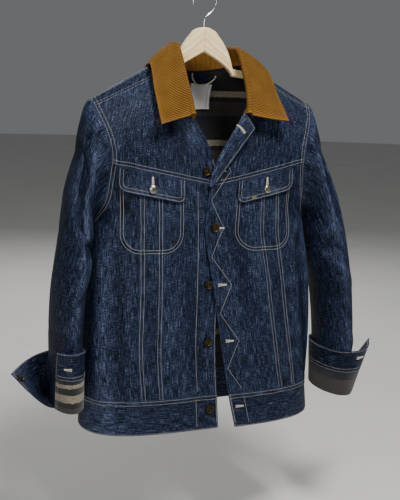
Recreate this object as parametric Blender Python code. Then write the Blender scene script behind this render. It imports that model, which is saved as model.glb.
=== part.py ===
"""A denim trucker jacket with a corduroy collar, unbuttoned but for one button, on a wooden hanger.

Metres, +Z up. The front of the jacket faces -Y and the wearer's left is +X.
The origin is the inside top of the hanger's hook, where a rail would carry it.

The cloth is one skin of curved grids (fronts, back, sleeves, collar), all worked out from the
short tables below. Each panel is a block of that skin, given its thickness and drawn back from
its neighbours by half a seam gap, so panels that are sewn together share their seam's shape.
"""
import math
from collections import namedtuple

import bmesh
import bpy
from mathutils import Vector

# ---------------------------------------------------------------- driving sizes
Z_TIP = -0.205            # the shoulder tips, below the hook's seat
CLOTH = 0.0020            # denim with its blanket lining
BAND = 0.0030             # waistband and cuffs, two layers of denim
CORD = 0.0030             # corduroy on its undercollar
LINING = 0.0014
SEAM_GAP = 0.0003
SLEEVE_GAP = 0.0006       # the sleeves', whose seam with the body is sharply bent
ROOT_GAP = 0.0008         # the thick collar's
LIFT = 0.0004             # what lies on a panel is this far off it
TIGHTEST_CORNER = 0.35    # keeps the corner of a pointed panel from being drawn back too far

SEAM_INNER = 0.107        # vertical seams of a front, from its edge along the cloth
SEAM_OUTER = 0.150
SHOULDER_CELLS = 7        # grid cells from the neck point to the shoulder tip
NECK_CELLS_FRONT = 4
NECK_CELLS_BACK = 5
YOKE_CELLS = 6
ROW_CELLS = (2, 3, 3, 3, 2, 2)   # grid cells between the rows of the tables, from the hem up

# Heights in the tables are measured from the shoulder tip. x is outward from the middle.
Side = namedtuple("Side", "name x y z turn")
FRONT_SIDE = (
    Side("hem", 0.232, -0.006, -0.603, 90),
    Side("waist", 0.229, -0.005, -0.539, 90),
    Side("low", 0.227, -0.003, -0.440, 90),
    Side("mid", 0.224, 0.000, -0.335, 88),
    Side("armpit", 0.213, -0.002, -0.222, 78),
    Side("arm_low", 0.196, -0.040, -0.172, 36),
    Side("yoke", 0.190, -0.054, -0.108, 14),
)
ARMPIT_PLACE = 4          # of the rows of a side's table
BACK_SIDE = FRONT_SIDE[:ARMPIT_PLACE + 1] + (
    Side("arm_low", 0.190, 0.046, -0.180, 40),
    Side("yoke", 0.189, 0.064, -0.112, 22),
)
Edge = namedtuple("Edge", "name x y z")
EDGES = {
    "right": (                       # x is toward the wearer's right here
        Edge("hem", -0.015, -0.088, -0.607),
        Edge("waist", -0.011, -0.087, -0.541),
        Edge("low", -0.006, -0.085, -0.440),
        Edge("mid", -0.008, -0.080, -0.335),
        Edge("armpit", -0.008, -0.075, -0.233),
        Edge("arm_low", -0.007, -0.073, -0.196),
        Edge("yoke", -0.006, -0.071, -0.149),
    ),
    "left": (
        Edge("hem", 0.047, -0.094, -0.607),
        Edge("waist", 0.032, -0.093, -0.541),
        Edge("low", 0.014, -0.092, -0.440),
        Edge("mid", -0.003, -0.0885, -0.335),
        Edge("armpit", -0.019, -0.081, -0.233),
        Edge("arm_low", -0.017, -0.079, -0.196),
        Edge("yoke", -0.010, -0.077, -0.149),
    ),
}
Middle = namedtuple("Middle", "name y z")
BACK_MIDDLE = (
    Middle("hem", 0.070, -0.605),
    Middle("waist", 0.071, -0.541),
    Middle("low", 0.073, -0.440),
    Middle("mid", 0.078, -0.335),
    Middle("armpit", 0.085, -0.225),
    Middle("arm_low", 0.091, -0.172),
    Middle("yoke", 0.093, -0.105),
)
EDGE_TURN = 2             # degrees by which a front bows forward as it leaves its edge
ROW_HANDLE = 0.40         # handles of a row's curve, as a share of its span

# ---------------------------------------------------------------- neck and shoulders
NECK_POINT = Vector((0.075, -0.015, 0.072))
TIP = Vector((0.214, -0.014, -0.002))
BACK_NECK = Vector((0.0, 0.062, 0.058))
NECK_CORNER = {"right": Vector((0.045, -0.078, -0.028)), "left": Vector((0.050, -0.080, -0.016))}
CORNER_ARRIVAL = {"right": Vector((0.60, 0.0, 0.80)), "left": Vector((0.40, 0.0, 0.92))}
# How the front reaches its neckline, column by column after the corner, and then the shoulder seam.
NECK_ARRIVALS = (
    Vector((-0.25, 0.15, 0.95)), Vector((-0.50, 0.15, 0.85)), Vector((-0.50, 0.30, 0.80)), Vector((-0.28, 0.65, 0.70)),
)
FRONT_ARRIVAL = Vector((0.05, 0.80, 0.60))
BACK_ARRIVAL = Vector((0.0, -0.85, -0.53))    # how the back comes over the ridge to that seam
NECK_ARRIVAL = Vector((0.0, -0.35, 0.94))     # how the back reaches the middle of its neckline
YOKE_HANDLE = 0.36
NECK_LEAVE = Vector((0.026, 0.010, 0.024))    # handles of the front neckline
NECK_REACH = Vector((0.011, 0.018, 0.022))
BACK_NECK_LEAVE = Vector((-0.012, 0.024, -0.003))

# ---------------------------------------------------------------- sleeves
# Each ring of a sleeve hangs between its outer and inner points; depth is half its size front to back.
Ring = namedtuple("Ring", "name cells outer_x outer_z inner_x inner_z y depth")
RINGS = {
    "right": (
        Ring("cap", 3, 0.234, -0.084, 0.2220, -0.241, -0.002, 0.066),
        Ring("upper", 3, 0.258, -0.165, 0.224, -0.262, -0.010, 0.076),
        Ring("biceps", 2, 0.270, -0.245, 0.228, -0.290, -0.018, 0.081),
        Ring("elbow", 4, 0.288, -0.355, 0.238, -0.364, -0.026, 0.077),
        Ring("forearm", 3, 0.292, -0.436, 0.242, -0.438, -0.028, 0.070),
        Ring("fold", 4, 0.290, -0.545, 0.242, -0.545, -0.028, 0.063),
    ),
    "left": (
        Ring("cap", 3, 0.238, -0.080, 0.2215, -0.240, -0.002, 0.066),
        Ring("upper", 3, 0.268, -0.165, 0.2245, -0.262, -0.010, 0.074),
        Ring("biceps", 2, 0.285, -0.245, 0.229, -0.288, -0.018, 0.077),
        Ring("elbow", 4, 0.304, -0.370, 0.251, -0.378, -0.026, 0.071),
        Ring("forearm", 3, 0.312, -0.474, 0.259, -0.476, -0.028, 0.067),
        Ring("fold", 4, 0.313, -0.565, 0.260, -0.565, -0.028, 0.062),
    ),
}
UNDER_SLEEVE = (7, 13)    # ring cells of the under sleeve, counted from the tip round the front

CAP_OUT = 0.012           # how far a sleeve stands out of its armhole before it falls
CAP_FALL = 0.45
SLEEVE_GIRTH = 0.38       # for placing folds: around a sleeve, and from one ring to the next
RING_STEP = 0.09
SLIT_CELL = {"right": 2, "left": 17}   # where the cuff's slit lies, in ring cells from the tip round the front
TURNUP_OFF = 0.0052
TURNUP_TOP = {"right": 0.112, "left": 0.090}   # height of the turned-up edge over the fold
TURNUP_SHARES = (0.0, 0.17, 0.34, 0.51, 0.67, 0.83, 1.0)
TURNUP_LINING_ROWS = 5    # rows of the turn-up below the cuff's seam, the fold's two among them
# How far each side of the slit flares at the cuff's edge: first the side that runs on toward the front.
Flare = namedtuple("Flare", "x y z spread sag_spread bend")
FLARES = {
    "right": (Flare(0.000, -0.024, 0.000, 0.22, 0.22, 1.0), Flare(0.064, 0.070, -0.062, 0.50, 0.80, 0.75)),
    "left": (Flare(0.104, 0.014, -0.019, 0.42, 0.42, 0.75), Flare(0.016, 0.026, -0.006, 0.22, 0.22, 1.0)),
}

# Folds of the cloth: ridges (+) and troughs (-) between two places on a sleeve.
# around is in turns from the tip toward the front; along is in rings, 0 at the armhole.
Fold = namedtuple("Fold", "around0 along0 around1 along1 width depth")
SLEEVE_FOLDS = {
    "right": (
        Fold(0.10, 0.2, 0.17, 2.6, 0.035, -0.010),
        Fold(0.02, 0.6, 0.06, 4.6, 0.060, 0.006),
        Fold(0.44, 0.9, 0.22, 2.4, 0.035, 0.007),
        Fold(0.46, 1.8, 0.26, 3.0, 0.030, -0.006),
        Fold(0.46, 2.4, 0.28, 3.8, 0.035, 0.006),
        Fold(0.86, 0.4, 0.78, 2.8, 0.045, -0.008),
        Fold(0.62, 2.2, 0.80, 3.6, 0.035, 0.006),
    ),
    "left": (
        Fold(0.12, 0.3, 0.20, 2.4, 0.035, -0.008),
        Fold(0.02, 0.6, 0.05, 4.8, 0.060, 0.006),
        Fold(0.44, 1.0, 0.24, 2.6, 0.035, 0.006),
        Fold(0.44, 2.4, 0.26, 3.8, 0.035, 0.005),
        Fold(0.87, 0.4, 0.79, 2.9, 0.045, -0.008),
        Fold(0.62, 2.2, 0.80, 3.6, 0.035, 0.006),
    ),
}
# Folds of a front or of half the back: across is the distance from the edge (or the side), z from the tip.
BodyFold = namedtuple("BodyFold", "across0 z0 across1 z1 width depth")
FRONT_FOLDS = {
    "right": (
        BodyFold(0.215, -0.235, 0.225, -0.560, 0.024, 0.006),
        BodyFold(0.190, -0.260, 0.187, -0.590, 0.016, -0.004),
        BodyFold(0.193, -0.030, 0.186, -0.130, 0.012, 0.004),
        BodyFold(0.172, -0.020, 0.165, -0.120, 0.012, -0.003),
        BodyFold(0.055, -0.300, 0.035, -0.560, 0.030, -0.003),
    ),
    "left": (
        BodyFold(0.225, -0.200, 0.230, -0.560, 0.022, 0.005),
        BodyFold(0.198, -0.230, 0.205, -0.590, 0.018, -0.004),
        BodyFold(0.060, -0.190, 0.075, -0.420, 0.030, -0.004),
    ),
}
BACK_FOLDS = (
    BodyFold(0.045, -0.230, 0.040, -0.580, 0.024, 0.006),
    BodyFold(0.085, -0.230, 0.080, -0.580, 0.026, -0.005),
    BodyFold(0.150, -0.140, 0.150, -0.580, 0.040, 0.004),
    BodyFold(0.205, -0.180, 0.200, -0.560, 0.030, -0.004),
)

# ---------------------------------------------------------------- collar
# Rows run along the neckline from the wearer's right end to the left; 'at' counts neckline cells.
CollarRow = namedtuple("CollarRow", "at fold_x fold_y fold_z outer_x outer_y outer_z")
COLLAR = (
    CollarRow(0, -0.047, -0.089, -0.020, -0.113, -0.097, -0.037),
    CollarRow(2, -0.053, -0.052, 0.040, -0.115, -0.064, 0.018),
    CollarRow(4, -0.056, -0.008, 0.101, -0.111, -0.020, 0.068),
    CollarRow(6.5, -0.044, 0.045, 0.104, -0.082, 0.080, 0.052),
    CollarRow(9, 0.003, 0.068, 0.100, 0.003, 0.098, 0.036),
    CollarRow(11.5, 0.047, 0.043, 0.100, 0.082, 0.078, 0.050),
    CollarRow(14, 0.061, -0.009, 0.096, 0.119, -0.006, 0.067),
    CollarRow(16, 0.064, -0.048, 0.042, 0.131, -0.050, 0.016),
    CollarRow(18, 0.053, -0.092, -0.016, 0.133, -0.097, -0.029),
)
STAND_CELLS = 2
FALL_CELLS = 4
FOLD_RADIUS = 0.0042
FALL_BOW = 0.004

LAPEL_ROOT = 0.004        # width of the folded-back corner at its foot
LAPEL_LIFT = 0.0064
LAPEL_ROLL = (18, 72, 125)
LAPEL_TIP = Vector((0.068, -0.093, -0.042))
LAPEL_CELLS = 3
LAPEL_SHORT = 0.03        # of a cell, short of the collar

# ---------------------------------------------------------------- trims
FLAP_ACROSS = {"right": 0.066, "left": 0.056}   # its inner side, from the front's edge
FLAP_WIDTH = 0.122
FLAP_DROP = 0.042
FLAP_CORNER = 0.016
FLAP_CELLS = 10
FLAP_ROWS = 3
FLAP_START = 0.002        # its upper edge, below the yoke seam
ROW_STEP = 0.02           # of a grid row, for measuring down the cloth
FLAP_STAND_OFF = 0.004    # its free edge, clear of the pocket under it

BUTTON_R = 0.0080
BUTTON_HEIGHT = 0.0035
SHANK_R = 0.0035
SHANK_HEIGHT = 0.0020
BUTTON_SEGMENTS = 12
Button = namedtuple("Button", "front height inset")   # inset is from that front's edge
FRONT_BUTTONS = (
    Button("right", -0.121, 0.0215),
    Button("left", -0.224, 0.0175),      # the one that is done up
    Button("right", -0.330, 0.0195),
    Button("right", -0.437, 0.0170),
    Button("right", -0.566, 0.0190),
)

CUFF_BUTTON_ROW = 6       # of the turn-up's rows
TAB_ACROSS = (0.029, 0.033, 0.038)    # along the left flap, from its inner side
TAB_DOWN = (0.80, 0.89, 0.97)         # down the flap, as shares of its depth
LABEL_THICK = 0.0010
LABEL_OFF = 0.0028        # it is sewn on along its edge and stands off the lining
LABEL_ACROSS = 0.024      # the jacket hangs a little askew, so the label is off the hanger's middle
LABEL_Z = 0.033
LABEL_WIDTH = 0.040
LABEL_LENGTH = 0.046
LABEL_SIDE_STEP = 0.0245
LABEL_SIDE_WIDTH = 0.008
PATCH_ACROSS = 0.024
PATCH_Z = 0.054
PATCH_WIDTH = 0.047
PATCH_DROP = 0.020
PATCH_CORNER = 0.018
PATCH_OFF = 0.0015
LINING_LIFT = 0.0015      # the lining lies loose inside the shell
LINING_GAP = 0.006        # it stops half of this short of the seams round it
BACK_SEAM_COLUMN = 7      # of the back's columns, where its long seams run

# ---------------------------------------------------------------- hanger
WOOD_THICK = 0.012
WOOD_Y = 0.0
APEX_Z = 0.137
# The wood between the shoulders: x from the middle, and its edges measured up from the shoulder tips.
WoodStation = namedtuple("WoodStation", "x top floor")
WOOD_HUMP = (
    WoodStation(0.000, 0.137, 0.0920),
    WoodStation(0.010, 0.136, 0.0866),
    WoodStation(0.022, 0.130, 0.0800),
    WoodStation(0.036, 0.113, 0.0720),
    WoodStation(0.047, 0.096, 0.0630),
    WoodStation(0.053, 0.080, 0.0565),
    WoodStation(0.058, 0.063, 0.0490),
)
ARM_DEPTH = 0.0145
WOOD_CLEAR = 0.0003
SLOPE_ALLOWANCE = 0.97    # the cloth rests over the arms by its ridge, a little above these columns
ARM_START_X = 0.080
WOOD_EASE = 0.0025
END_TAPER = 0.0035
ARM_END_X = 0.190
WIRE_R = 0.0018
HOOK_R = 0.021
HOOK_FROM = 205           # degrees of the hook's round part, from its open end over the top
HOOK_TO = -40
HOOK_STEPS = 22
BEND_STEPS = 6
STEM_TOP_Z = -0.058
WIRE_SIDES = 8


# ================================================================ small maths
def smooth(keys, values, at):
    """A monotone cubic through (keys, values), which never overshoots its rows."""
    last = len(keys) - 1
    at = min(max(at, keys[0]), keys[-1])
    k = 0
    while k < last - 1 and at > keys[k + 1]:
        k += 1
    slopes = [(values[i + 1] - values[i]) / (keys[i + 1] - keys[i]) for i in range(last)]

    def tangent(i):
        if i == 0:
            return slopes[0]
        if i == last:
            return slopes[-1]
        before, after = slopes[i - 1], slopes[i]
        if before * after <= 0:
            return 0.0
        wide, near = keys[i + 1] - keys[i], keys[i] - keys[i - 1]
        a, b = 2 * wide + near, wide + 2 * near
        return (a + b) / (a / before + b / after)

    step = keys[k + 1] - keys[k]
    t = (at - keys[k]) / step
    return (
        values[k] * (2 * t**3 - 3 * t**2 + 1)
        + tangent(k) * step * (t**3 - 2 * t**2 + t)
        + values[k + 1] * (3 * t**2 - 2 * t**3)
        + tangent(k + 1) * step * (t**3 - t**2)
    )


def column(rows, name, at):
    """The named column of a table, read smoothly between its rows, which count 0, 1, 2..."""
    return smooth(range(len(rows)), [getattr(row, name) for row in rows], at)


def side_column(rows, name, at):
    """The same for the tables of a side, whose seam and armhole are separate curves that meet at the armpit."""
    if at <= ARMPIT_PLACE:
        return column(rows[:ARMPIT_PLACE + 1], name, at)
    return column(rows[ARMPIT_PLACE:], name, at - ARMPIT_PLACE)


def bezier(a, b, c, d, t):
    s = 1 - t
    return a * s**3 + b * (3 * s * s * t) + c * (3 * s * t * t) + d * t**3


def along_curve(points, distances):
    """Points at these distances along a polyline."""
    lengths = [0.0]
    for a, b in zip(points, points[1:]):
        lengths.append(lengths[-1] + (b - a).length)
    found = []
    k = 0
    for distance in distances:
        while k < len(points) - 2 and lengths[k + 1] < distance:
            k += 1
        span = lengths[k + 1] - lengths[k]
        found.append(points[k].lerp(points[k + 1], (distance - lengths[k]) / span))
    return found


def curve_length(points):
    return sum((b - a).length for a, b in zip(points, points[1:]))


def world(side, point):
    """From 'outward, forward, up from the tip' to the jacket's own frame."""
    return Vector((point.x if side == "left" else -point.x, point.y, point.z + Z_TIP))


# ================================================================ the skin's rows
def turned(degrees):
    """A direction in plan: 0 is outward, 90 is straight back."""
    angle = math.radians(degrees)
    return Vector((math.cos(angle), math.sin(angle), 0))


def front_row(side, at, samples=40):
    """One row of a front, from its edge to the side seam or armhole, as a fine polyline."""
    edge = Vector([column(EDGES[side], axis, at) for axis in "xyz"])
    end = Vector([side_column(FRONT_SIDE, axis, at) for axis in "xyz"])
    reach = (end - edge).length * ROW_HANDLE
    rise = (end.z - edge.z) * ROW_HANDLE
    leave = edge + turned(-EDGE_TURN) * reach + Vector((0, 0, rise))
    arrive = end - turned(side_column(FRONT_SIDE, "turn", at)) * reach - Vector((0, 0, rise))
    return [bezier(edge, leave, arrive, end, k / samples) for k in range(samples + 1)]


def back_row(at, samples=40):
    """Half a row of the back, from the side to the middle."""
    end = Vector([side_column(BACK_SIDE, axis, at) for axis in "xyz"])
    middle = Vector((0, column(BACK_MIDDLE, "y", at), column(BACK_MIDDLE, "z", at)))
    reach = (end - middle).length * ROW_HANDLE
    turn = turned(180 - side_column(BACK_SIDE, "turn", at))
    return [
        bezier(end, end + turn * reach, middle + Vector((reach, 0, 0)), middle, k / samples)
        for k in range(samples + 1)
    ]


def front_columns(length):
    """Distances along a front's row for the grid's columns, with its two vertical seams among them."""
    inner = [SEAM_INNER * k / NECK_CELLS_FRONT for k in range(NECK_CELLS_FRONT)]
    strip = [SEAM_INNER, (SEAM_INNER + SEAM_OUTER) / 2]
    rest = SHOULDER_CELLS - 2
    outer = [SEAM_OUTER + (length - SEAM_OUTER) * k / rest for k in range(rest + 1)]
    return inner + strip + outer


def row_places():
    """Where the grid's rows lie among the table's rows, from the hem to the yoke seam."""
    places = [0.0]
    for k, cells in enumerate(ROW_CELLS):
        places += [k + (c + 1) / cells for c in range(cells)]
    return places


def front_neckline(side, samples=24):
    corner, point = NECK_CORNER[side], NECK_POINT
    return [
        bezier(corner, corner + NECK_LEAVE, point - NECK_REACH, point, k / samples)
        for k in range(samples + 1)
    ]


def back_neckline(samples=24):
    return [
        bezier(
            NECK_POINT,
            NECK_POINT + BACK_NECK_LEAVE,
            BACK_NECK + Vector((0.040, 0, 0)),
            BACK_NECK,
            k / samples,
        )
        for k in range(samples + 1)
    ]


def evenly(points, cells):
    length = curve_length(points)
    return along_curve(points, [length * k / cells for k in range(cells + 1)])


def front_top(side):
    """The front's top edge: up the neckline, then along the shoulder seam to the tip."""
    return evenly(front_neckline(side), NECK_CELLS_FRONT)[:-1] + evenly([NECK_POINT, TIP], SHOULDER_CELLS)


def back_top():
    """Half of the back's top edge: from the tip along the shoulder seam, then round the neckline."""
    return evenly([TIP, NECK_POINT], SHOULDER_CELLS)[:-1] + evenly(back_neckline(), NECK_CELLS_BACK)


def front_arrivals(side):
    found = [CORNER_ARRIVAL[side], *NECK_ARRIVALS] + [FRONT_ARRIVAL] * SHOULDER_CELLS
    return [direction.normalized() for direction in found]


def back_arrivals():
    found = [BACK_ARRIVAL.normalized()] * SHOULDER_CELLS
    start = math.atan2(BACK_ARRIVAL.z, -BACK_ARRIVAL.y)
    stop = math.atan2(NECK_ARRIVAL.z, -NECK_ARRIVAL.y)
    for k in range(NECK_CELLS_BACK + 1):
        angle = start + (stop - start) * k / NECK_CELLS_BACK
        found.append(Vector((0, -math.cos(angle), math.sin(angle))))
    return found


def yoke_rows(seam, below, top, arrivals):
    """The rows of a yoke above its seam: each column rises from the seam and arrives at the top edge."""
    rows = []
    for r in range(1, YOKE_CELLS + 1):
        row = []
        for start, under, end, arrival in zip(seam, below, top, arrivals):
            reach = (end - start).length * YOKE_HANDLE
            leave = start + (start - under).normalized() * reach
            row.append(bezier(start, leave, end - arrival * reach, end, r / YOKE_CELLS))
        rows.append(row)
    return rows


def nearness(point, start, end, width):
    """1 on the line between start and end, fading to 0 at its width and at both ends."""
    line = end - start
    share = (point - start).dot(line) / line.length_squared
    away = (point - start - line * share).length / width
    if away >= 1 or not 0 < share < 1:
        return 0.0
    return (1 - away * away) ** 2 * math.sin(math.pi * share) ** 0.6


def body_folds(grid, folds, seam_column):
    """Moves a half's grid out and in along its folds, which are placed by distance across and height."""
    across = [[0.0] for _ in grid]
    for lengths, row in zip(across, grid):
        for a, b in zip(row, row[1:]):
            lengths.append(lengths[-1] + (b - a).length)
    moved = [list(row) for row in grid]
    for r, row in enumerate(grid[:-1]):
        for c, point in enumerate(row):
            if c == seam_column:
                continue
            place = Vector((across[r][c], point.z))
            push = sum(
                fold.depth
                * nearness(place, Vector((fold.across0, fold.z0)), Vector((fold.across1, fold.z1)), fold.width)
                for fold in folds
            )
            if push:
                out = Vector((point.x, point.y, 0)).normalized()
                moved[r][c] = point + out * push
    return moved


def front_grid(side):
    """A front from hem to shoulder, rows upward, columns from its edge to the side."""
    places = row_places()
    rows = []
    for at in places:
        line = front_row(side, at)
        rows.append(along_curve(line, front_columns(curve_length(line))))
    rows += yoke_rows(rows[-1], rows[-2], front_top(side), front_arrivals(side))
    return body_folds(rows, FRONT_FOLDS[side], FRONT_COLUMNS)


def back_half_grid():
    rows = [evenly(back_row(at), MIDDLE_COLUMN) for at in row_places()]
    rows += yoke_rows(rows[-1], rows[-2], back_top(), back_arrivals())
    return body_folds(rows, BACK_FOLDS, 0)


ARMPIT_ROW = sum(ROW_CELLS[:ARMPIT_PLACE])
WAIST_ROW = ROW_CELLS[0]
YOKE_ROW = sum(ROW_CELLS)
TOP_ROW = YOKE_ROW + YOKE_CELLS
FRONT_COLUMNS = NECK_CELLS_FRONT + SHOULDER_CELLS
STRIP_COLUMN = NECK_CELLS_FRONT + 2
MIDDLE_COLUMN = SHOULDER_CELLS + NECK_CELLS_BACK      # of the back's, at its middle


# ================================================================ the skin
class Skin:
    """All of the cloth's grids in the jacket's frame, with normals shared where grids meet."""

    def __init__(self):
        self.grids = {}
        self.sums = {}

    @staticmethod
    def key(point):
        return tuple(round(value * 1e6) for value in point)

    def add(self, name, grid, sense):
        """Takes a grid in; sense is 1 where its rows and columns turn outward, -1 where inward."""
        self.grids[name] = grid
        sums = self.sums[name] = {}
        for low, high in zip(grid, grid[1:]):
            for a, b, c, d in zip(low, low[1:], high[1:], high):
                area = (c - a).cross(d - b) * sense
                for point in (a, b, c, d):
                    key = self.key(point)
                    sums[key] = sums.get(key, Vector((0, 0, 0))) + area

    def normal(self, point):
        """Each grid that meets at a point has the same say in its normal."""
        key = self.key(point)
        shares = [sums[key].normalized() for sums in self.sums.values() if key in sums]
        return sum(shares, Vector((0, 0, 0))).normalized()

    def normals(self, name):
        return [[self.normal(point) for point in row] for row in self.grids[name]]


def seam_inset(grid, r, c, normal, box, gap):
    """Draws a point of a panel's border back from the seam, square to both border edges that meet there."""
    row0, row1, col0, col1 = box
    point = grid[r][c]
    squares = []
    if c in (col0, col1):
        inward = grid[r][c + (1 if c == col0 else -1)] - point
        squares += [square_to(grid[k][c] - point, normal, inward) for k in (r - 1, r + 1) if row0 <= k <= row1]
    if r in (row0, row1):
        inward = grid[r + (1 if r == row0 else -1)][c] - point
        squares += [square_to(grid[r][k] - point, normal, inward) for k in (c - 1, c + 1) if col0 <= k <= col1]
    if not squares:
        return Vector((0, 0, 0))
    first, second = squares
    return (first + second) * (gap / 2 / max(1 + first.dot(second), TIGHTEST_CORNER))


def square_to(edge, normal, inward):
    square = normal.cross(edge).normalized()
    return square if square.dot(inward) > 0 else -square


def panel(skin, name, box, thickness, out=0.0, gap=SEAM_GAP):
    """The closed solid of one block of a grid: rows box[0]..box[1], columns box[2]..box[3]."""
    mirrored = MIDDLE_COLUMN - box[2] if name == "back" else 0
    grid = skin.grids[name]
    row0, row1, col0, col1 = box
    outer, inner = [], []
    for r in range(row0, row1 + 1):
        for c in range(col0, col1 + 1):
            normal = skin.normal(grid[r][c])
            point = grid[r][c] + seam_inset(grid, r, c, normal, box, gap)
            outer.append(point + normal * (out + thickness / 2))
            inner.append(point + normal * (out - thickness / 2))
    return walled(outer, inner, row1 - row0 + 1, col1 - col0 + 1, mirrored)


def walled(outer, inner, rows, columns, mirrored=0):
    """Vertices and faces of a wall between two grids of points, shut along its borders.

    Each cell is two triangles, and in the first 'mirrored' columns they are parted the other way.
    """
    count = rows * columns

    def at(r, c):
        return r * columns + c

    faces = []
    for r in range(rows - 1):
        for c in range(columns - 1):
            a, b, d, e = at(r, c), at(r, c + 1), at(r + 1, c + 1), at(r + 1, c)
            for corners in ((a, b, e), (b, d, e)) if c < mirrored else ((a, b, d), (a, d, e)):
                faces.append(corners)
                faces.append(tuple(count + v for v in reversed(corners)))
    rims = []
    for c in range(columns - 1):
        rims.append((at(0, c + 1), at(0, c)))
        rims.append((at(rows - 1, c), at(rows - 1, c + 1)))
    for r in range(rows - 1):
        rims.append((at(r, 0), at(r + 1, 0)))
        rims.append((at(r + 1, columns - 1), at(r, columns - 1)))
    for a, b in rims:
        if (outer[a] - inner[b]).length < (outer[b] - inner[a]).length:
            faces += [(a, b, count + b), (a, count + b, count + a)]
        else:
            faces += [(a, b, count + a), (b, count + b, count + a)]
    return [tuple(v) for v in outer + inner], faces


# ================================================================ objects
MATERIALS = {
    "denim": ((0.045, 0.075, 0.150, 1), 0.85, 0.0),
    "corduroy": ((0.420, 0.215, 0.045, 1), 0.90, 0.0),
    "lining": ((0.115, 0.105, 0.100, 1), 0.95, 0.0),
    "label": ((0.780, 0.770, 0.730, 1), 0.80, 0.0),
    "patina": ((0.270, 0.190, 0.110, 1), 0.40, 1.0),
    "silver": ((0.600, 0.590, 0.560, 1), 0.30, 1.0),
    "wood": ((0.720, 0.520, 0.320, 1), 0.55, 0.0),
    "wire": ((0.700, 0.700, 0.720, 1), 0.25, 1.0),
}


def material(name):
    found = bpy.data.materials.get(name)
    if found:
        return found
    colour, roughness, metallic = MATERIALS[name]
    made = bpy.data.materials.new(name)
    made.use_nodes = True
    shader = made.node_tree.nodes["Principled BSDF"]
    shader.inputs["Base Color"].default_value = colour
    shader.inputs["Roughness"].default_value = roughness
    shader.inputs["Metallic"].default_value = metallic
    made.diffuse_color = colour
    return made


def add_object(name, mesh, finish):
    thing = bpy.data.objects.new(name, mesh)
    bpy.context.scene.collection.objects.link(thing)
    mesh.materials.append(material(finish))
    mesh.shade_smooth()
    mesh.set_sharp_from_angle(angle=math.radians(50))
    return thing


def add_solid(name, shape, finish):
    mesh = bpy.data.meshes.new(name)
    mesh.from_pydata(shape[0], [], shape[1])
    cleaned = bmesh.new()
    cleaned.from_mesh(mesh)
    bmesh.ops.recalc_face_normals(cleaned, faces=cleaned.faces)
    cleaned.to_mesh(mesh)
    cleaned.free()
    return add_object(name, mesh, finish)


def clear_scene():
    for thing in list(bpy.data.objects):
        bpy.data.objects.remove(thing)


# ================================================================ sleeves
def armhole_loop(front, back):
    """The armhole's points, from the tip down the front to the armpit and up the back."""
    down = [row[-1] for row in front[ARMPIT_ROW:]][::-1]
    up = [row[0] for row in back[ARMPIT_ROW:]]
    return down + up[1:-1]


def armhole_angles(loop):
    """Where the armhole's points lie round a ring of the sleeve, by their share of its front and back."""
    lengths = [0.0]
    for a, b in zip(loop, loop[1:] + loop[:1]):
        lengths.append(lengths[-1] + (b - a).length)
    armpit = len(loop) // 2
    angles = []
    for k in range(len(loop)):
        if k <= armpit:
            angles.append(math.pi * lengths[k] / lengths[armpit])
        else:
            angles.append(math.pi + math.pi * (lengths[k] - lengths[armpit]) / (lengths[-1] - lengths[armpit]))
    return angles


def sleeve_ring(side, at, angles):
    """A ring of a sleeve below the armhole; 'at' counts the rings of its table from 0."""
    rings = RINGS[side]
    outer = Vector((column(rings, "outer_x", at), column(rings, "y", at), column(rings, "outer_z", at)))
    inner = Vector((column(rings, "inner_x", at), column(rings, "y", at), column(rings, "inner_z", at)))
    depth = column(rings, "depth", at)
    middle, half = (outer + inner) / 2, (outer - inner) / 2
    return [middle + half * math.cos(angle) + Vector((0, -depth * math.sin(angle), 0)) for angle in angles]


def cap_point(start, end, share):
    """Between the armhole and the first ring: out from the seam, then over and down."""
    leave = start + Vector((CAP_OUT, 0, 0))
    arrive = end + Vector((0, 0, CAP_FALL * (end - start).length))
    return bezier(start, leave, arrive, end, share)


def ring_places(side):
    """Where a sleeve's rows lie among its rings, 0 at the armhole."""
    places = [0.0]
    for k, ring in enumerate(RINGS[side]):
        places += [k + (c + 1) / ring.cells for c in range(ring.cells)]
    return places


def sleeve_rows(side, front, back):
    """A sleeve's rings from the armhole down to where it is turned up, with its folds."""
    loop = armhole_loop(front, back)
    angles = armhole_angles(loop)
    cap = sleeve_ring(side, 0, angles)
    rows = []
    for place in ring_places(side):
        if place < 1:
            rows.append([cap_point(a, b, place) for a, b in zip(loop, cap)])
        else:
            rows.append(sleeve_ring(side, place - 1, angles))
    moved = [list(row) for row in rows]
    for r, place in enumerate(ring_places(side)[:-1]):
        middle = sum(rows[r], Vector((0, 0, 0))) / len(loop)
        for c, point in enumerate(rows[r]):
            push = sleeve_push(side, angles[c] / (2 * math.pi), place)
            moved[r][c] = point + (point - middle).normalized() * push
    return moved, angles


def sleeve_push(side, around, along):
    """How far a sleeve's folds move its cloth out here; both places are read as lengths."""
    push = 0.0
    for fold in SLEEVE_FOLDS[side]:
        start = Vector((fold.around0 * SLEEVE_GIRTH, fold.along0 * RING_STEP))
        end = Vector((fold.around1 * SLEEVE_GIRTH, fold.along1 * RING_STEP))
        for turn in (-1, 0, 1):
            place = Vector(((around + turn) * SLEEVE_GIRTH, along * RING_STEP))
            push += fold.depth * nearness(place, start, end, fold.width)
    return push if along > 0 else 0.0


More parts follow.
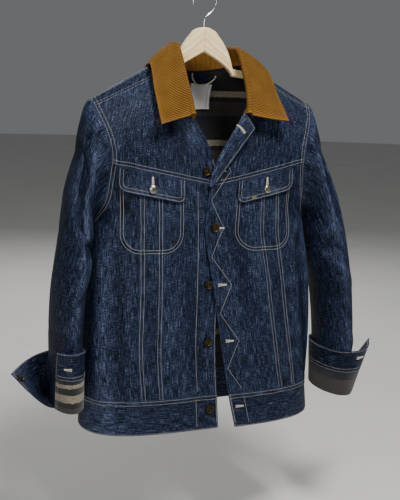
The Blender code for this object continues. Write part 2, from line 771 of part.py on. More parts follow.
def turnup_rows(side, angles):
    """The turned-up end: from the fold outward and up, round from one edge of the slit to the other."""
    count = len(angles)
    slit = SLIT_CELL[side]
    top = TURNUP_TOP[side]
    rise = RINGS[side][-2].outer_z - RINGS[side][-1].outer_z
    rows = []
    stages = [(0, 0), (-TURNUP_OFF / 2, TURNUP_OFF / 2)] + [(top * share, TURNUP_OFF) for share in TURNUP_SHARES]
    for height, offset in stages:
        ring = sleeve_ring(side, len(RINGS[side]) - 1 - max(height, 0) / rise, angles)
        middle = sum(ring, Vector((0, 0, 0))) / count
        row = []
        for c in range(count + 1):
            k = (slit + c) % count
            along = ring[(k + 1) % count] - ring[k - 1]
            square = Vector((-along.y, along.x, 0)).normalized()
            if square.dot(ring[k] - middle) < 0:
                square = -square
            point = ring[k] + square * offset + Vector((0, 0, min(height, 0)))
            share = max(height, 0) / top
            turn = 1.0 if c == count else (angles[k] - angles[slit]) / (2 * math.pi) % 1
            for flare, distance in zip(FLARES[side], (turn, 1 - turn)):
                out = max(1 - distance / flare.spread, 0) ** 1.5
                sag = max(1 - distance / flare.sag_spread, 0)
                sag = sag * sag * (3 - 2 * sag)
                point = point + Vector((flare.x * out, flare.y * out, flare.z * sag)) * share**flare.bend
            row.append(point)
        rows.append(row)
    return rows


# ================================================================ collar and lapel
def collar_profile(root, fold, outer, along):
    """From the neckline up the stand, round the fold (square to 'along', the fold's line) and down the fall."""
    up = (fold - root)
    up = (up - along * up.dot(along)).normalized()
    fall = outer - fold
    across = (fall - up * fall.dot(up) - along * fall.dot(along)).normalized()
    points = [root.lerp(fold, k / STAND_CELLS) for k in range(STAND_CELLS)]
    centre = fold + across * FOLD_RADIUS
    for degrees in (180, 120, 60, 0):
        angle = math.radians(degrees)
        points.append(centre + (across * math.cos(angle) + up * math.sin(angle)) * FOLD_RADIUS)
    start = points[-1]
    for k in range(1, FALL_CELLS + 1):
        share = k / FALL_CELLS
        points.append(start.lerp(outer, share) + across * (FALL_BOW * math.sin(math.pi * share)))
    return points


def collar_grid(neckline):
    """The collar: columns along the neckline, rows from its root over the fold to its edge."""
    places = [row.at for row in COLLAR]
    folds, outers = [], []
    for k in range(len(neckline)):
        values = [smooth(places, [getattr(row, name) for row in COLLAR], k) for name in CollarRow._fields[1:]]
        drop = Vector((0, 0, Z_TIP))
        folds.append(Vector(values[:3]) + drop)
        outers.append(Vector(values[3:]) + drop)
    profiles = []
    for k, root in enumerate(neckline):
        along = (folds[min(k + 1, len(folds) - 1)] - folds[max(k - 1, 0)]).normalized()
        profiles.append(collar_profile(root, folds[k], outers[k], along))
    return [list(row) for row in zip(*profiles)]


def lapel_cells(grid, normals):
    """The folded-back corner of the left front: round its roll line, then flat to its outer edge."""
    tip = LAPEL_TIP + Vector((0, 0, Z_TIP))
    foot = grid[YOKE_ROW][0]
    rows = []
    for r in range(YOKE_CELLS + 1):
        edge, normal = surface_at(grid, normals, YOKE_ROW + min(r, YOKE_CELLS - LAPEL_SHORT), 0.0)
        along = grid[min(YOKE_ROW + r + 1, TOP_ROW)][0] - grid[YOKE_ROW + r - 1][0]
        outward = square_to(along, normal, grid[YOKE_ROW + r][1] - edge)
        centre = edge + normal * LAPEL_LIFT / 2
        row = []
        for degrees in LAPEL_ROLL:
            angle = math.radians(degrees)
            spoke = -normal * math.cos(angle) - outward * math.sin(angle)
            row.append((centre + spoke * LAPEL_LIFT / 2, spoke, 0.0))
        start = edge + normal * LAPEL_LIFT
        root = foot + normals[YOKE_ROW][0] * LAPEL_LIFT + Vector((LAPEL_ROOT, 0, 0))
        end = root.lerp(tip, r / YOKE_CELLS)
        row += [(start.lerp(end, k / LAPEL_CELLS), normal, 0.0) for k in range(1, LAPEL_CELLS + 1)]
        rows.append(row)
    return rows


# ================================================================ pieces that lie on a panel
def surface_at(grid, normals, row, across):
    """A point and normal on a grid, at a fractional row and a distance along that row from its start."""
    low = min(int(row), len(grid) - 2)
    share = row - low
    points = [a.lerp(b, share) for a, b in zip(grid[low], grid[low + 1])]
    facing = [a.lerp(b, share) for a, b in zip(normals[low], normals[low + 1])]
    k, left = 0, across
    while k < len(points) - 2 and left > (points[k + 1] - points[k]).length:
        left -= (points[k + 1] - points[k]).length
        k += 1
    part = left / (points[k + 1] - points[k]).length
    return points[k].lerp(points[k + 1], part), facing[k].lerp(facing[k + 1], part).normalized()


def row_below(grid, across, start_row, drop):
    """The fractional row that lies 'drop' below start_row, measured down the cloth."""
    row, left = start_row, drop
    here = surface_at(grid, grid, row, across)[0]
    while left > 0 and row > ROW_STEP:
        row -= ROW_STEP
        beneath = surface_at(grid, grid, row, across)[0]
        left -= (beneath - here).length
        here = beneath
    return row


def row_at_height(grid, across, height):
    """The fractional row at this height, below the tip, at a distance across from the edge."""
    row = TOP_ROW
    while row > ROW_STEP and surface_at(grid, grid, row, across)[0].z > height + Z_TIP:
        row -= ROW_STEP
    return row


def patch_solid(cells, thickness):
    """A closed solid from a grid of (point, normal, distance off the surface)."""
    outer = [p + n * (off + thickness / 2) for row in cells for p, n, off in row]
    inner = [p + n * (off - thickness / 2) for row in cells for p, n, off in row]
    return walled(outer, inner, len(cells), len(cells[0]))


def flap_cells(grid, normals, start):
    """The pocket flap, hanging from the yoke seam, with round lower corners."""
    columns = []
    for c in range(FLAP_CELLS + 1):
        share = (1 - math.cos(math.pi * c / FLAP_CELLS)) / 2
        across = start + FLAP_WIDTH * share
        near_side = min(across - start, start + FLAP_WIDTH - across)
        cut = max(FLAP_CORNER - near_side, 0)
        drop = FLAP_DROP - FLAP_CORNER + math.sqrt(max(FLAP_CORNER**2 - cut**2, 0))
        columns.append([])
        for r in range(FLAP_ROWS + 1):
            place = row_below(grid, across, YOKE_ROW, FLAP_START + drop * r / FLAP_ROWS)
            point, normal = surface_at(grid, normals, place, across)
            off = CLOTH + LIFT + FLAP_STAND_OFF * (r / FLAP_ROWS) ** 1.5
            columns[-1].append((point, normal, off))
    return [list(row) for row in zip(*columns)]


def rectangle_on(grid, normals, across, height, width, length, off, cells=(3, 2), corner=0.0):
    """A small oblong of cloth laid on a grid; corner rounds its lower corners."""
    columns = []
    for c in range(cells[0] + 1):
        share = (1 - math.cos(math.pi * c / cells[0])) / 2
        place = across + width * (share - 0.5)
        cut = max(corner - width * min(share, 1 - share), 0)
        drop = length - corner + math.sqrt(max(corner**2 - cut**2, 0))
        top = row_at_height(grid, place, height)
        columns.append([])
        for r in range(cells[1] + 1):
            row = row_below(grid, place, top, drop * r / cells[1])
            point, normal = surface_at(grid, normals, row, place)
            columns[-1].append((point, normal, off))
    return [list(row) for row in zip(*columns)]


def shank_button(name, seat, facing, finish="patina"):
    """A shank button, turned about its own axis and stood on its seat."""
    rim = SHANK_HEIGHT + BUTTON_HEIGHT / 2
    top = SHANK_HEIGHT + BUTTON_HEIGHT
    wide = BUTTON_R
    profile = ((SHANK_R, 0), (SHANK_R, SHANK_HEIGHT), (wide, SHANK_HEIGHT), (wide, rim), (wide * 0.75, top))
    points = []
    for ring_radius, height in profile:
        for k in range(BUTTON_SEGMENTS):
            angle = 2 * math.pi * k / BUTTON_SEGMENTS
            points.append(Vector((ring_radius * math.cos(angle), ring_radius * math.sin(angle), height)))
    points += [Vector((0, 0, 0)), Vector((0, 0, top))]
    count = BUTTON_SEGMENTS
    faces = []
    for ring in range(len(profile) - 1):
        for k in range(count):
            a, b = ring * count + k, ring * count + (k + 1) % count
            faces.append((a, b, b + count, a + count))
    last = (len(profile) - 1) * count
    for k in range(count):
        faces.append(((k + 1) % count, k, len(points) - 2))
        faces.append((last + k, last + (k + 1) % count, len(points) - 1))
    stand = facing.to_track_quat("Z", "Y").to_matrix()
    placed = [seat + facing * LIFT + stand @ point for point in points]
    return add_solid(name, (placed, faces), finish)


# ================================================================ hanger
def ridge_heights(skin):
    """Where the cloth rests over the hanger: (x, z) of its lower face from the neck point to the tip."""
    grid = skin.grids["back"]
    found = []
    for c in range(SHOULDER_CELLS, -1, -1):
        columns = [grid[r][-1 - c] for r in range(YOKE_ROW, TOP_ROW + 1)]
        heights = []
        for y in (WOOD_Y - WOOD_THICK / 2, WOOD_Y, WOOD_Y + WOOD_THICK / 2):
            for a, b in zip(columns, columns[1:]):
                if min(a.y, b.y) <= y <= max(a.y, b.y):
                    heights.append(a.lerp(b, (y - a.y) / (b.y - a.y)).z)
        found.append((columns[-1].x, min(heights) - (CLOTH / 2 + LINING_LIFT + LINING) * SLOPE_ALLOWANCE - WOOD_CLEAR))
    return found


def wood_solid(skin):
    """The flat wooden hanger: its outline's top and underside in short stations, with eased edges."""
    ridge = ridge_heights(skin)
    stations = [(row.x, row.top + Z_TIP, row.floor + Z_TIP) for row in WOOD_HUMP]
    stations += [(x, z, z - ARM_DEPTH) for x, z in ridge if ARM_START_X < x < ARM_END_X - 0.01]
    end_z = smooth([x for x, z in ridge], [z for x, z in ridge], ARM_END_X) - END_TAPER
    stations += [(ARM_END_X, end_z, end_z + 2 * END_TAPER - ARM_DEPTH)]
    half = WOOD_THICK / 2
    ease = WOOD_EASE
    rings = []
    for x, top, floor in [(-x, top, floor) for x, top, floor in stations[:0:-1]] + stations:
        section = ((half - ease, top), (half, top - ease), (half, floor + ease), (half - ease, floor),
                   (ease - half, floor), (-half, floor + ease), (-half, top - ease), (ease - half, top))
        rings.append([Vector((x, WOOD_Y + y, z)) for y, z in section])
    return lofted(rings)


def lofted(rings):
    """A closed solid through rings of equal count, flat at both ends."""
    count = len(rings[0])
    faces = []
    for r in range(len(rings) - 1):
        for k in range(count):
            a, b = r * count + k, r * count + (k + 1) % count
            faces.append((a, b, b + count, a + count))
    faces.append(tuple(range(count)))
    faces.append(tuple(range((len(rings) - 1) * count, len(rings) * count)))
    return [point for ring in rings for point in ring], faces


def hook_path():
    """The wire's middle line, from its open end over the top and down the stem into the wood."""
    radius = HOOK_R + WIRE_R
    centre = Vector((0, WOOD_Y, -HOOK_R))
    path = []
    for k in range(HOOK_STEPS + 1):
        angle = math.radians(HOOK_FROM + (HOOK_TO - HOOK_FROM) * k / HOOK_STEPS)
        path.append(centre + Vector((math.cos(angle), 0, math.sin(angle))) * radius)
    bend_start = path[-1]
    heading = (path[-1] - path[-2]).normalized()
    stem_top = Vector((0, WOOD_Y, STEM_TOP_Z))
    for k in range(1, BEND_STEPS + 1):
        path.append(bezier(bend_start, bend_start + heading * 0.012, stem_top + Vector((0, 0, 0.012)), stem_top,
                           k / BEND_STEPS))
    path.append(Vector((0, WOOD_Y, APEX_Z + Z_TIP + LIFT)))
    return path


def wire_solid():
    path = hook_path()
    rings = []
    for k, point in enumerate(path):
        heading = (path[min(k + 1, len(path) - 1)] - path[max(k - 1, 0)]).normalized()
        side = Vector((0, 1, 0))
        across = side.cross(heading)
        ring = []
        for n in range(WIRE_SIDES):
            angle = 2 * math.pi * n / WIRE_SIDES
            ring.append(point + (side * math.cos(angle) + across * math.sin(angle)) * WIRE_R)
        rings.append(ring)
    return lofted(rings)


# ================================================================ building
def build_skin():
    """The fronts, back, sleeves and collar as grids of one skin."""
    skin = Skin()
    back_half = back_half_grid()
    back = [[world("right", p) for p in row] + [world("left", p) for p in row[-2::-1]] for row in back_half]
    skin.add("back", back, -1)
    for side, sense in (("right", -1), ("left", 1)):
        front = front_grid(side)
        skin.add("front_" + side, [[world(side, p) for p in row] for row in front], sense)
        rows, angles = sleeve_rows(side, front, back_half)
        turnup = turnup_rows(side, angles)
        under, _ = UNDER_SLEEVE
        rolled = [row[under:] + row[:under + 1] for row in rows]
        skin.add("sleeve_" + side, [[world(side, p) for p in row] for row in rolled], sense)
        skin.add("turnup_" + side, [[world(side, p) for p in row] for row in turnup], sense)
    skin.add("collar", collar_grid(neckline_points(skin)), -1)
    return skin


def neckline_points(skin):
    """The whole neckline from the wearer's right corner to the left one, as the yokes have it."""
    right = skin.grids["front_right"][TOP_ROW][:NECK_CELLS_FRONT + 1]
    back = skin.grids["back"][TOP_ROW][SHOULDER_CELLS:-SHOULDER_CELLS]
    left = skin.grids["front_left"][TOP_ROW][:NECK_CELLS_FRONT + 1]
    return right + back[1:-1] + left[::-1]


def build_panels(skin):
    """Every sewn panel of the shell, as blocks of the skin."""
    last = 2 * MIDDLE_COLUMN
    side_end = BACK_SEAM_COLUMN
    for side in ("right", "left"):
        front = "front_" + side
        for name, box in (
            ("front_yoke_", (YOKE_ROW, TOP_ROW, 0, FRONT_COLUMNS)),
            ("front_centre_", (WAIST_ROW, YOKE_ROW, 0, NECK_CELLS_FRONT)),
            ("front_strip_", (WAIST_ROW, YOKE_ROW, NECK_CELLS_FRONT, STRIP_COLUMN)),
            ("front_side_", (WAIST_ROW, YOKE_ROW, STRIP_COLUMN, FRONT_COLUMNS)),
        ):
            add_solid(name + side, panel(skin, front, box, CLOTH), "denim")
        add_solid("waistband_front_" + side, panel(skin, front, (0, WAIST_ROW, 0, FRONT_COLUMNS), BAND), "denim")
        under_from, under_to = UNDER_SLEEVE
        cut = under_to - under_from
        rows = len(skin.grids["sleeve_" + side]) - 1
        columns = len(skin.grids["sleeve_" + side][0]) - 1
        for name, box in (("sleeve_under_", (0, rows, 0, cut)), ("sleeve_top_", (0, rows, cut, columns))):
            add_solid(name + side, panel(skin, "sleeve_" + side, box, CLOTH, gap=SLEEVE_GAP), "denim")
        lining_box = (0, TURNUP_LINING_ROWS, 0, columns)
        add_solid("turnup_" + side, panel(skin, "turnup_" + side, lining_box, CLOTH), "lining")
        cuff_box = (TURNUP_LINING_ROWS, len(skin.grids["turnup_" + side]) - 1, 0, columns)
        add_solid("cuff_" + side, panel(skin, "turnup_" + side, cuff_box, BAND), "denim")
    for name, box, thickness in (
        ("back_yoke", (YOKE_ROW, TOP_ROW, 0, last), CLOTH),
        ("back_side_right", (WAIST_ROW, YOKE_ROW, 0, side_end), CLOTH),
        ("back_centre", (WAIST_ROW, YOKE_ROW, side_end, last - side_end), CLOTH),
        ("back_side_left", (WAIST_ROW, YOKE_ROW, last - side_end, last), CLOTH),
        ("waistband_back", (0, WAIST_ROW, 0, last), BAND),
    ):
        add_solid(name, panel(skin, "back", box, thickness), "denim")
    collar = skin.grids["collar"]
    add_solid("collar", panel(skin, "collar", (0, len(collar) - 1, 0, len(collar[0]) - 1), CORD, gap=ROOT_GAP), "corduroy")
    inside = -(CLOTH / 2 + LINING_LIFT + LINING / 2)
    box = (ARMPIT_ROW, TOP_ROW, 1, last - 1)
    add_solid("lining_back", panel(skin, "back", box, LINING, inside, LINING_GAP), "lining")


def cuff_button_seat(skin, side):
    """On the cuff's own outside, which faces the sleeve now that it is turned up, by the slit's far edge."""
    grid = skin.grids["turnup_" + side]
    row = CUFF_BUTTON_ROW
    corners = [grid[row][-2], grid[row + 1][-1], grid[row + 1][-2]]
    corners = [point + skin.normal(point) * BAND / 2 for point in corners]
    first, second, third = corners
    sides = [(second - third).length, (third - first).length, (first - second).length]
    seat = sum((point * length for point, length in zip(corners, sides)), Vector((0, 0, 0))) / sum(sides)
    facing = (second - first).cross(third - first).normalized()
    return seat, facing if facing.dot(skin.normal(grid[row][-2])) > 0 else -facing


def build_trims(skin):
    """What lies on the panels: flaps, tab, labels, lapel and buttons."""
    for side in ("right", "left"):
        grid, normals = skin.grids["front_" + side], skin.normals("front_" + side)
        cells = flap_cells(grid, normals, FLAP_ACROSS[side])
        add_solid("flap_" + side, patch_solid(cells, CLOTH), "denim")
        outer = [[p + n * (off + CLOTH / 2) for p, n, off in row] for row in cells]
        middle = FLAP_CELLS // 2
        seat = outer[FLAP_ROWS - 1][middle]
        down = outer[FLAP_ROWS][middle] - outer[FLAP_ROWS - 2][middle]
        across = outer[FLAP_ROWS - 1][middle + 1] - outer[FLAP_ROWS - 1][middle - 1]
        facing = down.cross(across).normalized()
        facing = facing if facing.y < 0 else -facing
        shank_button("pocket_button_" + side, seat, facing, "silver")
        shank_button("cuff_button_" + side, *cuff_button_seat(skin, side))
        if side == "left":
            face = [[n for p, n, off in row] for row in cells]
            tab = [
                [(*surface_at(outer, face, down * FLAP_ROWS, across), LIFT + LABEL_THICK / 2) for across in TAB_ACROSS]
                for down in TAB_DOWN
            ]
            add_solid("flap_tab", patch_solid(tab, LABEL_THICK), "label")
    grid, normals = skin.grids["front_left"], skin.normals("front_left")
    add_solid("lapel_left", patch_solid(lapel_cells(grid, normals), CLOTH), "denim")
    for k, button in enumerate(FRONT_BUTTONS):
        grid, normals = skin.grids["front_" + button.front], skin.normals("front_" + button.front)
        row = row_at_height(grid, button.inset, button.height)
        point, normal = surface_at(grid, normals, row, button.inset)
        wall = BAND if row < WAIST_ROW else CLOTH
        shank_button("front_button_%d" % (k + 1), point + normal * wall / 2, normal)
    grid = [row[MIDDLE_COLUMN:] for row in skin.grids["back"]]
    inward = [[-n for n in row[MIDDLE_COLUMN:]] for row in skin.normals("back")]
    off = CLOTH / 2 + LINING_LIFT + LINING + LABEL_OFF
    for name, across, height, width, length, corner, cells_in in (
        ("label_main", LABEL_ACROSS, LABEL_Z, LABEL_WIDTH, LABEL_LENGTH, 0.0, (4, 3)),
        ("label_side", LABEL_ACROSS + LABEL_SIDE_STEP, LABEL_Z, LABEL_SIDE_WIDTH, LABEL_LENGTH, 0.0, (2, 3)),
        ("neck_patch", PATCH_ACROSS, PATCH_Z, PATCH_WIDTH, PATCH_DROP, PATCH_CORNER, (8, 3)),
    ):
        lift = off + (PATCH_OFF if corner else 0)
        cells = rectangle_on(grid, inward, across, height, width, length, lift, cells_in, corner)
        add_solid(name, patch_solid(cells, LABEL_THICK), "denim" if corner else "label")


def main():
    clear_scene()
    skin = build_skin()
    build_panels(skin)
    build_trims(skin)
    add_solid("hanger_wood", wood_solid(skin), "wood")
    add_solid("hanger_hook", wire_solid(), "wire")


main()
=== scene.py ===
"""The looks of a denim trucker jacket with a corduroy collar, hung on a wooden hanger.

Metres, +Z up, the front toward -Y, the wearer's left toward +X, the inside top of the hook at the origin.
Each cloth piece is a thin wall on the same curved rows and columns as its solid, only finer.
"""
import math

import bpy
import numpy as np
from mathutils import Matrix, Vector


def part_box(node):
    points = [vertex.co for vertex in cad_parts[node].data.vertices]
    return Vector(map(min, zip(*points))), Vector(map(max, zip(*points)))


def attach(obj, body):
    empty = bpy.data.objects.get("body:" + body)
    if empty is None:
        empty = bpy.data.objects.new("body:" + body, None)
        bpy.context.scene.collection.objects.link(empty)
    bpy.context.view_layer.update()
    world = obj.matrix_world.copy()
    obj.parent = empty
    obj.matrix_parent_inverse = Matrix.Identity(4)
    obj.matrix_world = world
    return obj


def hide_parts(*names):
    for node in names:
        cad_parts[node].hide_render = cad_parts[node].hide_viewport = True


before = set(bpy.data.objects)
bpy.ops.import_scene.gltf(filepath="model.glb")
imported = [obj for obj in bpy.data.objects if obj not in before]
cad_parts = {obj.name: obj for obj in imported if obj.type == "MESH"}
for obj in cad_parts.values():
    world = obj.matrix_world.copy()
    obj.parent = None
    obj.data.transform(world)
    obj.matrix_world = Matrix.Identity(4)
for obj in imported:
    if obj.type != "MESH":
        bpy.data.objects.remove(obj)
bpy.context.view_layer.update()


# ---------------------------------------------------------------- the studio
# A pale floor disc and plain soft light: a key above and in front, a weaker fill from the left, and
# one behind for the edges. The camera stands at the photograph's viewing angle.
EYE = Vector((-0.6639, -1.6660, -0.1704))
YAW, PITCH, ROLL = math.radians(21.84), math.radians(-9.93), math.radians(1.55)
LENS = 68.39
FLOOR_Z = -1.05
FLOOR_RADIUS = 14.0
FLOOR_CORNERS = 96
ROOM_LIGHT = 0.21
LIT_POINT = Vector((0, 0, -0.4))
LAMPS = (                 # name, place, size, watts
    ("key", (0.10, -1.45, 1.50), 0.6, 75),
    ("fill", (-1.6, -2.2, 0.3), 1.2, 22),
    ("back", (0.6, 2.4, 1.2), 1.6, 46),
)


def linear(colour):
    """An sRGB hex colour as linear red, green, blue and alpha."""
    parts = [int(colour[k:k + 2], 16) / 255 for k in (1, 3, 5)]
    return [p / 12.92 if p <= 0.04045 else ((p + 0.055) / 1.055) ** 2.4 for p in parts] + [1.0]


def plug(node, **inputs):
    """Sets a node's inputs, by name or as _number, each to another node's output or to a plain value."""
    for name, value in inputs.items():
        name = name.strip("_")
        socket = node.inputs[int(name) if name.isdigit() else name.replace("_", " ")]
        if isinstance(value, bpy.types.NodeSocket):
            node.id_data.links.new(value, socket)
        else:
            socket.default_value = value
    return node


def add_node(material, kind, settings=(), take=0, **inputs):
    """A shader node with its settings and inputs. Returns the output to take, by name or number."""
    node = material.node_tree.nodes.new("ShaderNode" + kind)
    for name, value in dict(settings).items():
        setattr(node, name, value)
    return plug(node, **inputs).outputs[take]


def new_material(name, **values):
    """A material and its shader, with the shader's plain values set on its own sockets."""
    made = bpy.data.materials.new(name)
    made.use_nodes = True
    return made, plug(made.node_tree.nodes["Principled BSDF"], **values)


def colours(ramp, *stops):
    """Fills a colour ramp, given by its output: pairs of a place and a hex colour."""
    elements = ramp.node.color_ramp.elements
    while len(elements) < len(stops):
        elements.new(0.5)
    for element, (place, colour) in zip(elements, stops):
        element.position = place
        element.color = linear(colour)
    return ramp


# Matt paint on plaster, very slightly cloudy.
floor_paint, shader = new_material("painted_plaster_floor", Roughness=0.9)
spot = add_node(floor_paint, "TexCoord", take="Object")
cloud = add_node(floor_paint, "TexNoise", Vector=spot, Scale=3.0, Detail=4.0)
tint = colours(add_node(floor_paint, "ValToRGB", Fac=cloud), (0.3, "#CFCDC9"), (0.7, "#D6D4D0"))
plug(shader, Base_Color=tint)
bpy.ops.object.select_all(action="DESELECT")
bpy.ops.mesh.primitive_circle_add(
    vertices=FLOOR_CORNERS, radius=FLOOR_RADIUS, fill_type="NGON", location=(0, 0, FLOOR_Z))
floor = bpy.context.object
floor.name = "floor"
floor.data.materials.append(floor_paint)

forward = Vector((math.sin(YAW) * math.cos(PITCH), math.cos(YAW) * math.cos(PITCH), math.sin(PITCH)))
level = Vector((math.cos(YAW), -math.sin(YAW), 0))
upward = level.cross(forward)
right = level * math.cos(ROLL) + upward * math.sin(ROLL)
upward = upward * math.cos(ROLL) - level * math.sin(ROLL)
camera = bpy.data.objects.new("camera", bpy.data.cameras.new("camera"))
camera.data.lens = LENS
camera.matrix_world = Matrix([(right[k], upward[k], -forward[k], EYE[k]) for k in range(3)] + [(0, 0, 0, 1)])
bpy.context.scene.collection.objects.link(camera)
bpy.context.scene.camera = camera

world = bpy.data.worlds.new("pale_room")
world.use_nodes = True
plug(world.node_tree.nodes["Background"], Color=linear("#D8DADD"), Strength=ROOM_LIGHT)
bpy.context.scene.world = world
for name, place, size, watts in LAMPS:
    lamp = bpy.data.objects.new(name, bpy.data.lights.new(name, "AREA"))
    lamp.data.size = size
    lamp.data.energy = watts
    lamp.location = place
    lamp.rotation_euler = (LIT_POINT - Vector(place)).to_track_quat("-Z", "Y").to_euler()
    bpy.context.scene.collection.objects.link(lamp)


# ---------------------------------------------------------------- fronts
# Each front is a pointed yoke, a middle panel, a narrow strip, a side panel and a waistband, cut from
# 13 oz indigo denim with a blanket lining and joined by felled seams sewn twice in pale thread.
# Tables count outward from the middle and up from the shoulder tip.
Z_TIP = -0.205
CLOTH = 0.0020
BAND = 0.0030
LIFT = 0.0004
FINE = 6                  # cells of the cloth to each cell of the solid's grid
ROW_CELLS = (2, 3, 3, 3, 2, 2)
ARMPIT_PLACE = 4
NECK_CELLS_FRONT, NECK_CELLS_BACK, SHOULDER_CELLS, YOKE_CELLS = 4, 5, 7, 6
SEAM_INNER, SEAM_OUTER = 0.107, 0.150
FRONT_SIDE = (            # x, y, z, turn: hem, waist, low, mid, armpit, arm_low, yoke
    (0.232, -0.006, -0.603, 90),
    (0.229, -0.005, -0.539, 90),
    (0.227, -0.003, -0.440, 90),
    (0.224, 0.000, -0.335, 88),
    (0.213, -0.002, -0.222, 78),
    (0.196, -0.040, -0.172, 36),
    (0.190, -0.054, -0.108, 14),
)
EDGES = {                 # x, y, z of a front's free edge, at the same rows
    "right": (
        (-0.015, -0.088, -0.607),
        (-0.011, -0.087, -0.541),
        (-0.006, -0.085, -0.440),
        (-0.008, -0.080, -0.335),
        (-0.008, -0.075, -0.233),
        (-0.007, -0.073, -0.196),
        (-0.006, -0.071, -0.149),
    ),
    "left": (
        (0.047, -0.094, -0.607),
        (0.032, -0.093, -0.541),
        (0.014, -0.092, -0.440),
        (-0.003, -0.0885, -0.335),
        (-0.019, -0.081, -0.233),
        (-0.017, -0.079, -0.196),
        (-0.010, -0.077, -0.149),
    ),
}
EDGE_TURN = 2
ROW_HANDLE = 0.40
YOKE_HANDLE = 0.36
CURVE_SAMPLES, NECK_SAMPLES = 120, 96
NECK_POINT = np.array((0.075, -0.015, 0.072))
TIP = np.array((0.214, -0.014, -0.002))
NECK_CORNER = {"right": np.array((0.045, -0.078, -0.028)), "left": np.array((0.050, -0.080, -0.016))}
CORNER_ARRIVAL = {"right": (0.60, 0.0, 0.80), "left": (0.40, 0.0, 0.92)}
NECK_ARRIVALS = ((-0.25, 0.15, 0.95), (-0.50, 0.15, 0.85), (-0.50, 0.30, 0.80), (-0.28, 0.65, 0.70))
FRONT_ARRIVAL = (0.05, 0.80, 0.60)
NECK_LEAVE = np.array((0.026, 0.010, 0.024))
NECK_REACH = np.array((0.011, 0.018, 0.022))
# A fold runs from (across, z) to (across, z); across is the distance from the edge. Then its width and depth.
FRONT_FOLDS = {
    "right": (
        (0.215, -0.235, 0.225, -0.560, 0.024, 0.006),
        (0.190, -0.260, 0.187, -0.590, 0.016, -0.004),
        (0.193, -0.030, 0.186, -0.130, 0.012, 0.004),
        (0.172, -0.020, 0.165, -0.120, 0.012, -0.003),
        (0.055, -0.300, 0.035, -0.560, 0.030, -0.003),
        (0.205, -0.150, 0.150, -0.235, 0.016, -0.0022),
        (0.212, -0.175, 0.160, -0.275, 0.014, 0.0020),
        (0.080, -0.205, 0.060, -0.330, 0.020, -0.0016),
        (0.020, -0.240, 0.050, -0.300, 0.018, 0.0014),
        (0.130, -0.300, 0.120, -0.470, 0.022, -0.0018),
        (0.165, -0.330, 0.150, -0.520, 0.018, 0.0020),
        (0.045, -0.030, 0.075, -0.100, 0.020, -0.0016),
        (0.110, -0.020, 0.100, -0.095, 0.018, 0.0014),
        (0.085, -0.360, 0.100, -0.520, 0.020, 0.0016),
        (0.010, -0.420, 0.040, -0.500, 0.016, -0.0016),
    ),
    "left": (
        (0.225, -0.200, 0.230, -0.560, 0.022, 0.005),
        (0.198, -0.230, 0.205, -0.590, 0.018, -0.004),
        (0.060, -0.190, 0.075, -0.420, 0.030, -0.004),
        (0.205, -0.140, 0.155, -0.230, 0.016, -0.0022),
        (0.215, -0.180, 0.170, -0.290, 0.014, 0.0020),
        (0.035, -0.090, 0.060, -0.140, 0.016, 0.0014),
        (0.120, -0.020, 0.130, -0.100, 0.018, -0.0014),
        (0.095, -0.200, 0.100, -0.360, 0.020, 0.0018),
        (0.135, -0.280, 0.140, -0.470, 0.022, -0.0020),
        (0.165, -0.320, 0.170, -0.530, 0.018, 0.0018),
        (0.025, -0.340, 0.045, -0.480, 0.020, 0.0018),
        (0.090, -0.420, 0.080, -0.530, 0.018, -0.0016),
    ),
}
FOLD_ENDS = 0.6           # below 1, a fold is deep for more of its length
FOLD_CLEAR = 0.015        # folds fade out this near to the side that is sewn
ROLL_DOWN = 0.0006        # a seam's border dips this much,
ROLL_WIDTH = 0.0015       # over this width,
WEAR_WIDTH = 0.006        # and is rubbed over this one
LAP, LAP_WIDTH, LAP_SLOPE = 0.0007, 0.0115, 0.004       # the folded layer of a felled seam
BOLT_STEP = 1.37          # how far apart along the bolt the pieces are cut
RIDGE_REACH = 9           # cells of cloth either side, from which a ridge's height is told
RIDGE_HEIGHT = 0.0035
SHARP = math.radians(50)


def column(rows, k, at, keys=None):
    """One column of a table, read by a monotone cubic between its rows, at 0, 1, 2... or at their keys."""
    keys = keys or range(len(rows))
    values = [row[k] for row in rows]
    last = len(values) - 1
    low = max(n for n in range(last) if n == 0 or at >= keys[n] - 1e-9)
    slopes = [(values[n + 1] - values[n]) / (keys[n + 1] - keys[n]) for n in range(last)]

    def tangent(n):
        if n in (0, last):
            return slopes[min(n, last - 1)]
        before, after = slopes[n - 1], slopes[n]
        if before * after <= 0:
            return 0.0
        long, short = keys[n + 1] - keys[n], keys[n] - keys[n - 1]
        a, b = 2 * long + short, long + 2 * short
        return (a + b) / (a / before + b / after)

    step = keys[low + 1] - keys[low]
    t = (at - keys[low]) / step
    return (
        values[low] * (2 * t**3 - 3 * t**2 + 1)
        + tangent(low) * step * (t**3 - 2 * t**2 + t)
        + values[low + 1] * (3 * t**2 - 2 * t**3)
        + tangent(low + 1) * step * (t**3 - t**2)
    )


def side_column(rows, k, at):
    """The same for a side, whose seam and armhole are separate curves that meet at the armpit."""
    if at <= ARMPIT_PLACE:
        return column(rows[:ARMPIT_PLACE + 1], k, at)
    return column(rows[ARMPIT_PLACE:], k, at - ARMPIT_PLACE)


def bezier(a, b, c, d, samples):
    """Points along a cubic curve from a to d, with b and c as its handles."""
    t = np.linspace(0, 1, samples + 1)[:, None]
    s = 1 - t
    return a * s**3 + b * (3 * s * s * t) + c * (3 * s * t * t) + d * t**3


def distances(points):
    """How far along a polyline each of its points is."""
    return np.concatenate(([0], np.cumsum(np.linalg.norm(np.diff(points, axis=0), axis=1))))


def spaced(points, at):
    """The points at these distances along a polyline."""
    lengths = distances(points)
    return np.stack([np.interp(at, lengths, values) for values in points.T], 1)


def evenly(points, cells):
    """A polyline's points, spaced evenly again."""
    return spaced(points, np.linspace(0, distances(points)[-1], cells + 1))


